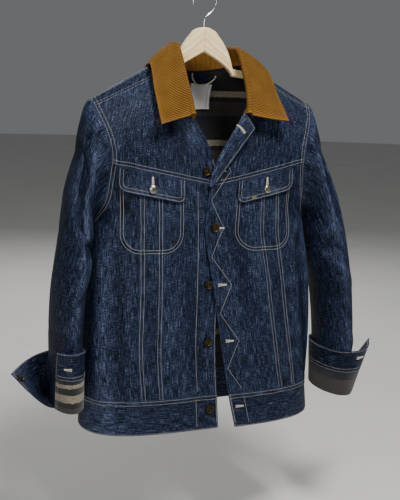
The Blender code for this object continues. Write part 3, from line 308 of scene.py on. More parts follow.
def finely(values):
    """The values with FINE - 1 more placed evenly between each two."""
    values = np.asarray(values, float)
    at = np.arange((len(values) - 1) * FINE + 1) / FINE
    parts = [np.interp(at, range(len(values)), part) for part in values.reshape(len(values), -1).T]
    return np.stack(parts, 1).reshape(-1, *values.shape[1:])


def unit(vectors):
    """Each vector made 1 long."""
    return vectors / np.linalg.norm(vectors, axis=-1, keepdims=True)


def turned(degrees):
    """A direction in plan: 0 is outward, 90 is straight back."""
    angle = math.radians(degrees)
    return np.array((math.cos(angle), math.sin(angle), 0))


def row_places():
    """Where the grid's rows lie among the tables' rows, from the hem to the yoke seam."""
    places = [0.0]
    for k, cells in enumerate(ROW_CELLS):
        places += [k + (c + 1) / cells for c in range(cells)]
    return finely(places)


def front_row(side, at):
    """One row of a front, from its edge to the side seam or armhole, as a polyline."""
    edge = np.array([column(EDGES[side], k, at) for k in range(3)])
    end = np.array([side_column(FRONT_SIDE, k, at) for k in range(3)])
    reach = np.linalg.norm(end - edge) * ROW_HANDLE
    rise = np.array((0, 0, (end[2] - edge[2]) * ROW_HANDLE))
    leave = edge + turned(-EDGE_TURN) * reach + rise
    arrive = end - turned(side_column(FRONT_SIDE, 3, at)) * reach - rise
    return bezier(edge, leave, arrive, end, CURVE_SAMPLES)


def front_columns(length):
    """Distances along a front's row for its columns, with its two vertical seams among them."""
    inner = [SEAM_INNER * k / NECK_CELLS_FRONT for k in range(NECK_CELLS_FRONT)]
    rest = SHOULDER_CELLS - 2
    outer = [SEAM_OUTER + (length - SEAM_OUTER) * k / rest for k in range(rest + 1)]
    return finely(inner + [SEAM_INNER, (SEAM_INNER + SEAM_OUTER) / 2] + outer)


def front_top(side):
    """The front's top edge: up the neckline, then along the shoulder seam to the tip."""
    corner = NECK_CORNER[side]
    neckline = bezier(corner, corner + NECK_LEAVE, NECK_POINT - NECK_REACH, NECK_POINT, NECK_SAMPLES)
    shoulder = np.linspace(NECK_POINT, TIP, SHOULDER_CELLS * FINE + 1)
    return np.concatenate((evenly(neckline, NECK_CELLS_FRONT * FINE)[:-1], shoulder))


def yoke_rows(rows, top, arrivals):
    """The rows of a yoke above its seam: each column rises from the seam and arrives at the top edge."""
    seam, under = rows[-1], rows[-1 - FINE]
    leave, arrivals = unit(seam - under), unit(finely(arrivals))
    reach = np.linalg.norm(top - seam, axis=1)[:, None] * YOKE_HANDLE
    found = [
        bezier(a, a + b * r, d - c * r, d, YOKE_CELLS * FINE)
        for a, b, c, d, r in zip(seam, leave, arrivals, top, reach)
    ]
    return np.swapaxes(np.array(found), 0, 1)[1:]


def near(places, fold):
    """1 on a fold's line, fading to 0 at its width and at both ends, for an array of flat places."""
    start, end = np.array(fold[:2]), np.array(fold[2:4])
    line = end - start
    share = (places - start) @ line / (line @ line)
    away = np.linalg.norm(places - start - share[..., None] * line, axis=-1) / fold[4]
    ends = np.sin(np.pi * np.clip(share, 0, 1)) ** FOLD_ENDS
    return np.where((away < 1) & (share > 0) & (share < 1), (1 - np.minimum(away, 1) ** 2) ** 2 * ends, 0)


def steps_along(block, axis):
    """How far each point is from the block's first row (axis 0) or column (axis 1), along the cloth."""
    gaps = np.linalg.norm(np.diff(block, axis=axis), axis=2)
    return np.concatenate((np.zeros_like(gaps.take([0], axis)), np.cumsum(gaps, axis)), axis)


def creased(grid, folds, seam_first):
    """Moves a front's or half a back's grid out and in along its folds; its sewn side stays in place."""
    across = steps_along(grid, 1)
    places = np.stack((across, grid[..., 2]), -1)
    push = sum(fold[5] * near(places, fold) for fold in folds)
    from_side = across if seam_first else across[:, -1:] - across
    push = push * np.clip(from_side / FOLD_CLEAR, 0, 1)
    push[-1] = 0
    out = grid * np.array((1, 1, 0))
    return grid + unit(out + 1e-9) * push[..., None]


def front_grid(side):
    """A front's whole grid of points, from the hem to the neckline and shoulder."""
    lines = [front_row(side, at) for at in row_places()]
    rows = np.array([spaced(line, front_columns(distances(line)[-1])) for line in lines])
    arrivals = [unit(np.array(v)) for v in (CORNER_ARRIVAL[side], *NECK_ARRIVALS)]
    arrivals += [unit(np.array(FRONT_ARRIVAL))] * SHOULDER_CELLS
    rows = np.concatenate((rows, yoke_rows(rows, front_top(side), arrivals)))
    return creased(rows, FRONT_FOLDS[side], False)


def placed(side, grid):
    """From 'outward, forward, up from the tip' to the jacket's own frame."""
    return grid * np.array((1 if side == "left" else -1, 1, 1)) + np.array((0, 0, Z_TIP))


def facing(grid, sense):
    """The cloth's outward normals; sense is -1 where rows and columns turn inward."""
    return unit(np.cross(np.gradient(grid, axis=1), np.gradient(grid, axis=0)) * sense)


def borders(block):
    """Each point's distance to the block's four borders, along the cloth."""
    up, across = steps_along(block, 0), steps_along(block, 1)
    return {"low": up, "high": up[-1] - up, "left": across, "right": across[:, -1:] - across}


def raised(block, normal):
    """How far each point stands out from the cloth around it: 1 on a high ridge, -1 in such a hollow."""
    level = block
    for axis in (0, 1):
        length = level.shape[axis]
        reach = min(RIDGE_REACH, length - 1)
        widths = [(0, 0)] * 3
        widths[axis] = (reach, reach)
        padded = np.pad(level, widths, mode="reflect", reflect_type="odd")
        level = np.mean([np.take(padded, range(k, k + length), axis) for k in range(2 * reach + 1)], axis=0)
    height = np.sum((block - level) * normal, -1)
    return np.clip((height - np.median(height)) / RIDGE_HEIGHT, -1, 1)


def fitted(name, points, faces, finishes, node=None):
    """A mesh made a piece of the jacket: finished, linked, and standing for a solid where it has one."""
    mesh = bpy.data.meshes.new(name)
    mesh.from_pydata(points.tolist(), [], faces.tolist())
    for finish in finishes:
        mesh.materials.append(finish)
    mesh.shade_smooth()
    piece = bpy.data.objects.new(name, mesh)
    bpy.context.scene.collection.objects.link(piece)
    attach(piece, "root")
    if node:
        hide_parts(node)
    return piece


def wall(node, outer, inner, sense, uv, wear, finishes):
    """A closed thin wall between two grids of points, finished outside and inside.

    It carries its cloth coordinates, its seams' wear, and how far it stands out, for the denim's painted
    highlight and shade.
    """
    rows, columns = outer.shape[:2]
    count = rows * columns
    index = np.arange(count).reshape(rows, columns)
    face = np.stack((index[:-1, :-1], index[:-1, 1:], index[1:, 1:], index[1:, :-1]), -1).reshape(-1, 4)
    ring = np.concatenate((index[0, :-1], index[:-1, -1], index[-1, :0:-1], index[:0:-1, 0]))
    after = np.roll(ring, -1)
    rim = np.stack((after, ring, ring + count, after + count), -1)
    faces = np.concatenate((face, rim, face[:, ::-1] + count))[:, ::sense]
    points = np.concatenate((outer.reshape(-1, 3), inner.reshape(-1, 3)))
    piece = fitted("cloth_" + node, points, faces, finishes, node)
    is_inside = np.arange(len(faces)) >= len(face) + len(rim)
    piece.data.polygons.foreach_set("material_index", is_inside.astype(np.int32))
    layer = piece.data.uv_layers.new(name="cloth")
    layer.data.foreach_set("uv", uv.reshape(-1, 2)[faces.reshape(-1) % count].astype(np.float32).reshape(-1))
    # How far each point stands out: the denim paints ridges lighter (partly wear, partly painted highlight)
    # and hollows darker (painted shade).
    for name, values in (("wear", wear), ("ridge_wear_and_shade", raised(outer, unit(outer - inner)))):
        layer = piece.data.attributes.new(name, "FLOAT", "POINT")
        layer.data.foreach_set("value", np.tile(values.reshape(-1), 2).astype(np.float32))
    piece.data.set_sharp_from_angle(angle=SHARP)
    return piece


def cut_out(grid, normals, box):
    """A block of a grid and of its normals: rows from and to, columns from and to, in the solid's cells."""
    low, high, first, last = (round(FINE * value) for value in box)
    return grid[low:high + 1, first:last + 1], normals[low:high + 1, first:last + 1]


def sew(node, points, normal, thickness, sense, finishes, slot, cut=None, area=None, over=(), out=0.0,
        edge=(ROLL_DOWN, ROLL_WIDTH, WEAR_WIDTH), crosswise=False, straight=False, plain=False,
        rests_on=("hanger_wood",)):
    """A piece of cloth round a grid of middle points, kept in 'panels' when it is given a cut size.

    Where it lies over its neighbour its border is thicker. A straight piece's threads keep to its mean
    lengths, a crosswise one's run across, and a plain one has no rolled or rubbed border.
    """
    away = borders(points)
    nearest = np.min(list(away.values()), axis=0)
    depth, width, rubbed = edge
    sewn = 0 if plain else 1
    relief = -sewn * depth * np.exp(-nearest / width)
    for border in over:
        relief = relief + LAP * np.clip((LAP_WIDTH - away[border]) / LAP_SLOPE, 0, 1)
    across, along = away["left"], away["low"]
    if straight:
        across, along = np.broadcast_arrays(across.mean(0), along.mean(1)[:, None])
    uv = np.stack((along, across) if crosswise else (across, along), -1) + (sewn * BOLT_STEP * len(panels), 0)
    outer = points + normal * (out + thickness / 2 + relief)[..., None]
    inner = points + normal * (out - thickness / 2)
    piece = wall(node, outer, inner, sense, uv, sewn * np.exp(-nearest / rubbed), finishes)
    if cut:
        panels[node] = (outer, normal, inner)


# Rows of stitches: each felled seam has two, 2 and 8 mm from the folded edge.
SEAM_ROWS = (0.0019, 0.0079)
ONE_ROW = SEAM_ROWS[:1]
SHOULDER_SEAM = (0.014, 0.004)      # how far in front of the shoulder's ridge: at the neck, at the tip
ARMHOLE_START = 0.31      # up a side panel, whose side seam shows no rows
PITCH_OF_STITCH = 0.0034  # 7 or 8 stitches to the inch
ROW_END = 0.002           # rows start and stop this far from a border
AHEAD = 0.0008            # either side of a stitch, from which its direction is told
STITCH_HALF, THREAD_R = 0.00120, 0.00047
BEAD_RINGS = (            # of a stitch: along, in half lengths; width and rise, in thread radii
    (-1, 0.45, -0.5),
    (0, 1.0, 0.35),
    (1, 0.45, -0.5),
)


def along_border(piece, border, inset, inward=False):
    """The path of a row of stitches along one border of a piece, this far in from it: points and normals."""
    outer, normal, inner = piece
    points = inner if inward else outer
    normal = -normal if inward else normal
    away = borders(points)[border]
    if border in ("left", "right"):
        points, normal, away = points.transpose(1, 0, 2), normal.transpose(1, 0, 2), away.T
    if border in ("high", "right"):
        points, normal, away = points[::-1], normal[::-1], away[::-1]
    found = []
    for k in range(points.shape[1]):
        both = np.concatenate((points[:, k], normal[:, k]), 1)
        found.append([np.interp(inset, away[:, k], values) for values in both.T])
    found = np.array(found)
    return found[:, :3], found[:, 3:]


def stitch(group, points, normal, start=ROW_END, stop=ROW_END, pitch=PITCH_OF_STITCH):
    """Adds the stitches along a path to a group: each one's middle, direction and normal."""
    lengths = distances(points)
    at = np.arange(start, lengths[-1] - stop, pitch)
    if len(at) == 0:
        return
    heading = unit(spaced(points, at + AHEAD) - spaced(points, at - AHEAD) + 1e-12)
    up = unit(np.stack([np.interp(at, lengths, values) for values in normal.T], 1))
    threads.setdefault(group, []).append(np.stack((spaced(points, at), heading, up), 1))


def sew_border(group, node, border, insets=SEAM_ROWS, inward=False, start=ROW_END):
    """Rows of stitches along one border of a panel, these far in from it."""
    for inset in insets:
        stitch(group, *along_border(panels[node], border, inset, inward), start=start)


def thread_piece(group, half_length=STITCH_HALF, radius=THREAD_R, finish=None):
    """Joins a group's stitches into one piece: each a short bead of thread whose ends go into the cloth."""
    runs = np.concatenate(threads[group])
    middle, heading, up = runs[:, 0], runs[:, 1], runs[:, 2]
    side = np.cross(up, heading)
    form = np.array([
        (along * half_length, math.cos(turn) * radius * width, (math.sin(turn) * width + rise) * radius)
        for along, width, rise in BEAD_RINGS
        for turn in np.radians((0, 90, 180, 270))
    ])
    points = middle[:, None] + form @ np.stack((heading, side, up), 1)
    around = [(k, (k + 1) % 4, 4 + (k + 1) % 4, 4 + k) for k in range(4)]
    sides = [tuple(4 * ring + corner for corner in quad) for ring in (0, 1) for quad in around]
    bead = np.array(sides + [(3, 2, 1, 0), (8, 9, 10, 11)])[:, ::-1]
    faces = (bead[None] + 12 * np.arange(len(runs))[:, None, None]).reshape(-1, 4)
    fitted("thread_" + group, points.reshape(-1, 3), faces, (finish or cotton_thread,))


def total(material, *shares):
    """The sum of patterns, each times its share."""
    found = 0.0
    for value, share in shares:
        found = add_node(material, "Math", {"operation": "MULTIPLY_ADD"}, _0=value, _1=share, _2=found)
    return found


# Right-hand twill, dyed indigo in the warp only: slubby warp yarns show as light and dark streaks along
# the cloth, the pale weft as weaker ones across. Real yarns are 0.5 mm wide, drawn here as 1 mm so that
# they show. The dye is rubbed off where seams pucker. The cloth is painted a little lighter on its ridges
# and darker in its hollows: partly wear, partly painted highlight and painted shade.
STREAKS = {               # width and length in metres, detail
    "warp": (0.0010, 0.025, 1.0),
    "slub": (0.0036, 0.160, 2.0),
    "weft": (0.011, 0.0010, 1.0),
    "grain": (0.0011, 0.0012, 1.0),
    "tone": (0.06, 0.08, 2.0),
    "pucker": (0.010, 0.010, 1.0),
}
denim, shader = new_material("indigo_denim", Roughness=0.62, Specular_IOR_Level=0.12)
place = add_node(denim, "UVMap", {"uv_map": "cloth"})
wear = add_node(denim, "Attribute", {"attribute_name": "wear"}, "Fac")
# Painted light: ridges are painted lighter (partly wear, partly painted highlight), hollows darker (painted
# shade).
ridge_wear_and_shade = add_node(denim, "Attribute", {"attribute_name": "ridge_wear_and_shade"}, "Fac")
yarn = {}
for name, (width, length, detail) in STREAKS.items():
    scaled = add_node(denim, "Mapping", Vector=place, Scale=(1 / width, 1 / length, 1))
    yarn[name] = add_node(denim, "TexNoise", Vector=scaled, Scale=1.0, Detail=detail, Roughness=0.6)
weave = total(denim, (yarn["warp"], 0.35), (yarn["weft"], 0.24), (yarn["grain"], 0.41))
# The tone, with the painted highlight on ridges and the painted shade in hollows mixed in.
shade = total(denim, (weave, 0.97), (yarn["slub"], 0.03), (ridge_wear_and_shade, 0.030))
dyed = add_node(denim, "ValToRGB", Fac=shade)
colours(dyed, (0.460, "#03050A"), (0.542, "#141E38"), (0.622, "#65728F"))
puckered = add_node(denim, "Math", {"operation": "MULTIPLY"}, _0=wear, _1=yarn["pucker"])
rub = add_node(denim, "MapRange", Value=puckered, From_Min=0.34, From_Max=0.75)
faded = add_node(denim, "Mix", {"data_type": "RGBA"}, 2, Factor=rub, _6=dyed, _7=linear("#2C3754"))
fine = add_node(denim, "Bump", Height=weave, Strength=0.30, Distance=0.0008)
seam = add_node(denim, "Bump", Height=puckered, Strength=0.7, Distance=0.0028, Normal=fine)
hand = add_node(denim, "Bump", Height=yarn["tone"], Strength=0.5, Distance=0.006, Normal=seam)
plug(shader, Base_Color=faded, Normal=hand)


# The blanket lining: brushed wool and cotton in dark bands with cream and grey stripes, matt and fuzzy.
def blanket(name, turn, period, start, *stripes):
    """Stripes given as width and colour, up the piece itself where it is turned up, else by height."""
    cloth, shader = new_material(
        name, Roughness=1.0, Sheen_Weight=0.15, Sheen_Roughness=0.7, Specular_IOR_Level=0.1)
    place = add_node(cloth, "UVMap", {"uv_map": "cloth"})
    fuzz = add_node(cloth, "TexNoise", Vector=place, Scale=330.0, Detail=4.0)
    spot = place if turn else add_node(cloth, "TexCoord", take="Object")
    height = add_node(cloth, "SeparateXYZ", take="Y" if turn else "Z", Vector=spot)
    ragged = total(cloth, (fuzz, 0.006), (height, 1.0), (start, -1.0))
    turns = add_node(cloth, "Math", {"operation": "DIVIDE"}, _0=ragged, _1=period)
    bands = add_node(cloth, "ValToRGB", Fac=add_node(cloth, "Math", {"operation": "FRACT"}, _0=turns))
    bands.node.color_ramp.interpolation = "CONSTANT"
    places = np.cumsum([0.0] + [width / period for width, colour in stripes])
    colours(bands, *[(place, colour) for place, (width, colour) in zip(places, stripes)])
    speck = add_node(cloth, "MapRange", Value=fuzz, From_Min=0.3, From_Max=0.7, To_Min=0.45, To_Max=1.50)
    flecked = add_node(
        cloth, "Mix", {"data_type": "RGBA", "blend_type": "MULTIPLY"}, 2, Factor=1.0, _6=bands, _7=speck)
    nap = add_node(cloth, "Bump", Height=fuzz, Strength=0.6, Distance=0.001)
    plug(shader, Base_Color=flecked, Normal=nap)
    return cloth


CREAM, DUSK, EARTH = "#7C7462", "#0C0C13", "#2E2A27"
lining = blanket(
    "blanket_lining", False, 0.096, -0.2295, (0.028, EARTH), (0.009, DUSK), (0.0115, CREAM), (0.0475, DUSK))


# Core-spun cotton thread: matt with a little shine, in two close tones where its strands twist.
def sewing_cotton(name, low, high):
    made, shader = new_material(name, Roughness=0.6)
    spot = add_node(made, "TexCoord", take="Object")
    twist = add_node(made, "TexNoise", Vector=spot, Scale=900.0, Detail=2.0)
    plug(shader, Base_Color=colours(add_node(made, "ValToRGB", Fac=twist), (0.3, low), (0.7, high)))
    return made


cotton_thread = sewing_cotton("pale_cotton_thread", "#8A8780", "#C2BDB2")

ARMPIT_ROW, WAIST_ROW, YOKE_ROW = sum(ROW_CELLS[:ARMPIT_PLACE]), ROW_CELLS[0], sum(ROW_CELLS)
TOP_ROW = YOKE_ROW + YOKE_CELLS
FRONT_COLUMNS = NECK_CELLS_FRONT + SHOULDER_CELLS
STRIP_COLUMN = NECK_CELLS_FRONT + 2
MIDDLE_COLUMN = SHOULDER_CELLS + NECK_CELLS_BACK
SENSES = {"right": -1, "left": 1}
LINED, FACED = (denim, lining), (denim, denim)
BAND_ROWS, PANEL_ROWS, YOKE_ROWS = (0, WAIST_ROW), (WAIST_ROW, YOKE_ROW), (YOKE_ROW, TOP_ROW)
FRONT_PANELS = (          # node, rows and columns, cut width and length, its area, borders over a neighbour
    ("front_yoke_", (*YOKE_ROWS, 0, FRONT_COLUMNS), (0.235, 0.225), 0.0335, ("low", "right")),
    ("front_centre_", (*PANEL_ROWS, 0, NECK_CELLS_FRONT), (0.110, 0.400), 0.0425, ()),
    ("front_strip_", (*PANEL_ROWS, NECK_CELLS_FRONT, STRIP_COLUMN), (0.045, 0.410), 0.0178,
     ("left", "right")),
    ("front_side_", (*PANEL_ROWS, STRIP_COLUMN, FRONT_COLUMNS), (0.150, 0.430), 0.0500, ()),
)
WAISTBAND_ROWS = (("low", ONE_ROW), ("high", SEAM_ROWS), ("left", ONE_ROW))
panels, threads, fronts, flat_front = {}, {}, {}, {}
for side, sense in SENSES.items():
    flat_front[side] = front_grid(side)
    grid = placed(side, flat_front[side])
    fronts[side] = (grid, facing(grid, sense))
    for name, box, cut, area, over in FRONT_PANELS:
        sew(name + side, *cut_out(*fronts[side], box), CLOTH, sense, LINED, "denim", cut, area, over)
    yoke, waistband = "front_yoke_" + side, "waistband_front_" + side
    block = cut_out(*fronts[side], (*BAND_ROWS, 0, FRONT_COLUMNS))
    sew(waistband, *block, BAND, sense, FACED, "denim", (0.285, 0.066), 0.0182, ("high",), crosswise=True)
    group = "front_" + side
    sew_border(group, yoke, "low", start=0.006)
    sew_border(group, yoke, "right")
    for inset in SEAM_ROWS:
        near_neck, near_tip = [
            np.stack(along_border(panels[yoke], "high", inset + more))[:, -SHOULDER_CELLS * FINE - 1:]
            for more in SHOULDER_SEAM
        ]
        share = np.linspace(0, 1, near_tip.shape[1])[:, None]
        points, normal = near_neck * (1 - share) + near_tip * share
        stitch(group, points, unit(normal))
    sew_border(group, "front_side_" + side, "right", start=ARMHOLE_START)
    for border in ("left", "right"):
        sew_border(group, "front_strip_" + side, border)
    for border, insets in WAISTBAND_ROWS:
        sew_border(group, waistband, border, insets)

# Each chest pocket hangs inside the front and is held by two lines of stitches in a wide U. The left
# front's placket is held by a zigzag that turns at each buttonhole; the right front's facing by one line.
CHART_STEP = 0.002
CHART_WIDTH = 0.30
PATH_STEP = 0.002
POCKET_BOTTOM = -0.268
POCKET_ROUND = 0.036
POCKET_WIDTH = 0.116
POCKET_TOPS = (-0.150, -0.135)
POCKET_ROWS = (0.0, 0.0055)
POCKET_IN = 0.003         # from the flap's end
FLAP_ACROSS = {"right": 0.066, "left": 0.056}
FLAP_WIDTH = 0.122
SEWN, SEWN_BAND = 0.0016, 0.0020    # how far stitches lie from the cloth's middle
ZIGZAG = (                # across, height
    (0.0060, -0.088),
    (0.0360, -0.121),
    (0.0060, -0.173),
    (0.0360, -0.225),
    (0.0060, -0.278),
    (0.0360, -0.330),
    (0.0060, -0.384),
    (0.0360, -0.437),
    (0.0060, -0.490),
    (0.0300, -0.534),
)
STRAIGHT_ROWS = (         # front, across, from and to height, lift
    ("right", 0.0400, -0.158, -0.536, SEWN),
    ("right", 0.0440, -0.545, -0.603, SEWN_BAND),
    ("left", 0.0300, -0.545, -0.603, SEWN_BAND),
    ("right", 0.0030, -0.100, -0.600, SEWN),
    ("left", 0.0030, -0.540, -0.600, SEWN_BAND),
)
charts = {}


def chart_of(grid, normals):
    """Points and normals at even distances from a front's edge, so a place is found by across and height."""
    at = np.arange(0, CHART_WIDTH, CHART_STEP)
    rows = []
    for points, normal in zip(grid, normals):
        lengths = distances(points)
        rows.append([np.interp(at, lengths, values) for values in np.concatenate((points, normal), 1).T])
    return np.array(rows).transpose(2, 0, 1)      # by across, row and value


def profile_at(side, across):
    """Points and normals up the cloth at a distance from a front's edge or from the back's middle."""
    chart = charts[side]
    k = min(int(across / CHART_STEP), len(chart) - 2)
    share = across / CHART_STEP - k
    return chart[k] * (1 - share) + chart[k + 1] * share


def on_front(side, across, height, lift=0.0):
    """A point and normal of a front, at a distance from its edge and a height above the shoulder tip."""
    profile = profile_at(side, across)
    found = np.array([np.interp(height + Z_TIP, profile[:, 2], values) for values in profile.T])
    normal = unit(found[3:])
    return found[:3] + normal * lift, normal


def arc(x, y, radius, *degrees):
    """Corners of a path round an arc, from, to and by these degrees."""
    turns = np.radians(range(*degrees))
    return list(zip(x + radius * np.cos(turns), y + radius * np.sin(turns)))


def stitch_path(group, corners, lie):
    """Stitches along lines through flat corners, laid on the cloth by 'lie', which gives point and normal."""
    corners = np.array(corners, float)
    found = [lie(*place) for place in spaced(corners, np.arange(0, distances(corners)[-1], PATH_STEP))]
    stitch(group, *np.array(found).transpose(1, 0, 2))


for side in SENSES:
    charts[side] = chart_of(*fronts[side])
    for inset in POCKET_ROWS:
        start = FLAP_ACROSS[side] + POCKET_IN
        low, left, right = POCKET_BOTTOM + inset, start + inset, start + POCKET_WIDTH - inset
        turn = POCKET_ROUND - inset
        path = [(left, POCKET_TOPS[0])] + arc(left + turn, low + turn, turn, 180, 271, 10)
        path += arc(right - turn, low + turn, turn, 270, 361, 10) + [(right, POCKET_TOPS[1])]
        stitch_path("front_" + side, path, lambda *place: on_front(side, *place, SEWN))
stitch_path("front_left", ZIGZAG, lambda *place: on_front("left", *place, SEWN))
for side, across, top, bottom, lift in STRAIGHT_ROWS:
    path = ((across, top), (across, bottom))
    stitch_path("front_" + side, path, lambda *place: on_front(side, *place, lift))
for side in SENSES:
    thread_piece("front_" + side)


# ---------------------------------------------------------------- back
# A straight yoke, a middle panel between two long felled seams, two side panels and the waistband's
# back, all in the same denim. The rows meet the fronts at the side seams and along the shoulders.
BACK_SIDE = FRONT_SIDE[:ARMPIT_PLACE + 1] + (
    (0.190, 0.046, -0.180, 40),
    (0.189, 0.064, -0.112, 22),
)
BACK_MIDDLE = (           # y, z at the same rows
    (0.070, -0.605),
    (0.071, -0.541),
    (0.073, -0.440),
    (0.078, -0.335),
    (0.085, -0.225),
    (0.091, -0.172),
    (0.093, -0.105),
)
BACK_NECK = np.array((0.0, 0.062, 0.058))
BACK_NECK_LEAVE = np.array((-0.012, 0.024, -0.003))
BACK_NECK_ARRIVE = np.array((0.040, 0, 0))
BACK_ARRIVAL = np.array((0.0, -0.85, -0.53))
NECK_ARRIVAL = np.array((0.0, -0.35, 0.94))
BACK_SEAM_COLUMN = 7
BACK_FOLDS = (            # of the wearer's right half; across is the distance from the side
    (0.045, -0.230, 0.040, -0.580, 0.024, 0.006),
    (0.085, -0.230, 0.080, -0.580, 0.026, -0.005),
    (0.150, -0.140, 0.150, -0.580, 0.040, 0.004),
    (0.205, -0.180, 0.200, -0.560, 0.030, -0.004),
    (0.020, -0.180, 0.090, -0.260, 0.016, 0.0024),
    (0.022, -0.210, 0.080, -0.310, 0.014, -0.0020),
    (0.060, -0.120, 0.120, -0.200, 0.018, -0.0018),
    (0.110, -0.300, 0.125, -0.500, 0.020, 0.0022),
    (0.165, -0.260, 0.180, -0.420, 0.018, -0.0018),
    (0.190, -0.400, 0.170, -0.560, 0.018, 0.0018),
    (0.060, -0.040, 0.080, -0.100, 0.018, 0.0014),
)


def back_row(at):
    """Half a row of the back, from the side to the middle."""
    end = np.array([side_column(BACK_SIDE, k, at) for k in range(3)])
    middle = np.array((0, column(BACK_MIDDLE, 0, at), column(BACK_MIDDLE, 1, at)))
    reach = np.linalg.norm(end - middle) * ROW_HANDLE
    turn = turned(180 - side_column(BACK_SIDE, 3, at))
    return bezier(end, end + turn * reach, middle + np.array((reach, 0, 0)), middle, CURVE_SAMPLES)


shoulder = np.linspace(TIP, NECK_POINT, SHOULDER_CELLS * FINE + 1)
neckline = bezier(
    NECK_POINT, NECK_POINT + BACK_NECK_LEAVE, BACK_NECK + BACK_NECK_ARRIVE, BACK_NECK, NECK_SAMPLES)
back_top = np.concatenate((shoulder[:-1], evenly(neckline, NECK_CELLS_BACK * FINE)))
over_ridge = math.atan2(BACK_ARRIVAL[2], -BACK_ARRIVAL[1])
to_neck = math.atan2(NECK_ARRIVAL[2], -NECK_ARRIVAL[1])
arrivals = [unit(BACK_ARRIVAL)] * SHOULDER_CELLS
for angle in np.linspace(over_ridge, to_neck, NECK_CELLS_BACK + 1):
    arrivals.append(np.array((0, -math.cos(angle), math.sin(angle))))
flat_back = np.array([evenly(back_row(at), MIDDLE_COLUMN * FINE) for at in row_places()])
flat_back = np.concatenate((flat_back, yoke_rows(flat_back, back_top, arrivals)))
flat_back = creased(flat_back, BACK_FOLDS, True)
back = np.concatenate((placed("right", flat_back), placed("left", flat_back)[:, -2::-1]), 1)
back_normals = facing(back, -1)

last = 2 * MIDDLE_COLUMN
back_seam = last - BACK_SEAM_COLUMN
for name, box, cut, area, over in (
    ("back_yoke", (*YOKE_ROWS, 0, last), (0.430, 0.200), 0.0790, ("low",)),
    ("back_side_right", (*PANEL_ROWS, 0, BACK_SEAM_COLUMN), (0.150, 0.440), 0.0570, ()),
    ("back_centre", (*PANEL_ROWS, BACK_SEAM_COLUMN, back_seam), (0.225, 0.440), 0.0900, ("left", "right")),
    ("back_side_left", (*PANEL_ROWS, back_seam, last), (0.150, 0.440), 0.0570, ()),
    ("waistband_back", (*BAND_ROWS, 0, last), (0.510, 0.066), 0.0330, ("high",)),
):
    block, band = cut_out(back, back_normals, box), name == "waistband_back"
    thickness, finishes = (BAND, FACED) if band else (CLOTH, LINED)
    sew(name, *block, thickness, -1, finishes, "denim", cut, area, over, crosswise=band, straight=not band)
sew_border("back", "back_yoke", "low")
for border in ("left", "right"):
    sew_border("back", "back_centre", border)
    sew_border("back", "back_yoke", border)
sew_border("back", "back_side_right", "left", start=ARMHOLE_START)
sew_border("back", "back_side_left", "right", start=ARMHOLE_START)
for border, insets in WAISTBAND_ROWS[:2]:
    sew_border("back", "waistband_back", border, insets)
thread_piece("back")


# ---------------------------------------------------------------- sleeves
# Two-piece sleeves hang from the armholes: a wide upper half and a narrow under half, felled together.
# They fall almost straight, so they crease across from the underarm, with one deep fold down the front.
RINGS = {                 # cells, outer_x, outer_z, inner_x, inner_z, y, depth
    "right": (
        (3, 0.234, -0.084, 0.2220, -0.241, -0.002, 0.066),
        (3, 0.258, -0.165, 0.224, -0.262, -0.010, 0.076),
        (2, 0.270, -0.245, 0.228, -0.290, -0.018, 0.081),
        (4, 0.288, -0.355, 0.238, -0.364, -0.026, 0.077),
        (3, 0.292, -0.436, 0.242, -0.438, -0.028, 0.070),
        (4, 0.290, -0.545, 0.242, -0.545, -0.028, 0.063),
    ),
    "left": (
        (3, 0.238, -0.080, 0.2215, -0.240, -0.002, 0.066),
        (3, 0.268, -0.165, 0.2245, -0.262, -0.010, 0.074),
        (2, 0.285, -0.245, 0.229, -0.288, -0.018, 0.077),
        (4, 0.304, -0.370, 0.251, -0.378, -0.026, 0.071),
        (3, 0.312, -0.474, 0.259, -0.476, -0.028, 0.067),
        (4, 0.313, -0.565, 0.260, -0.565, -0.028, 0.062),
    ),
}
UNDER_SLEEVE = (7, 13)    # ring cells of the under sleeve, counted from the tip round the front
CAP_OUT = 0.012
CAP_FALL = 0.45
CAP_SAMPLES = 60
SLEEVE_GIRTH = 0.38
RING_STEP = 0.09
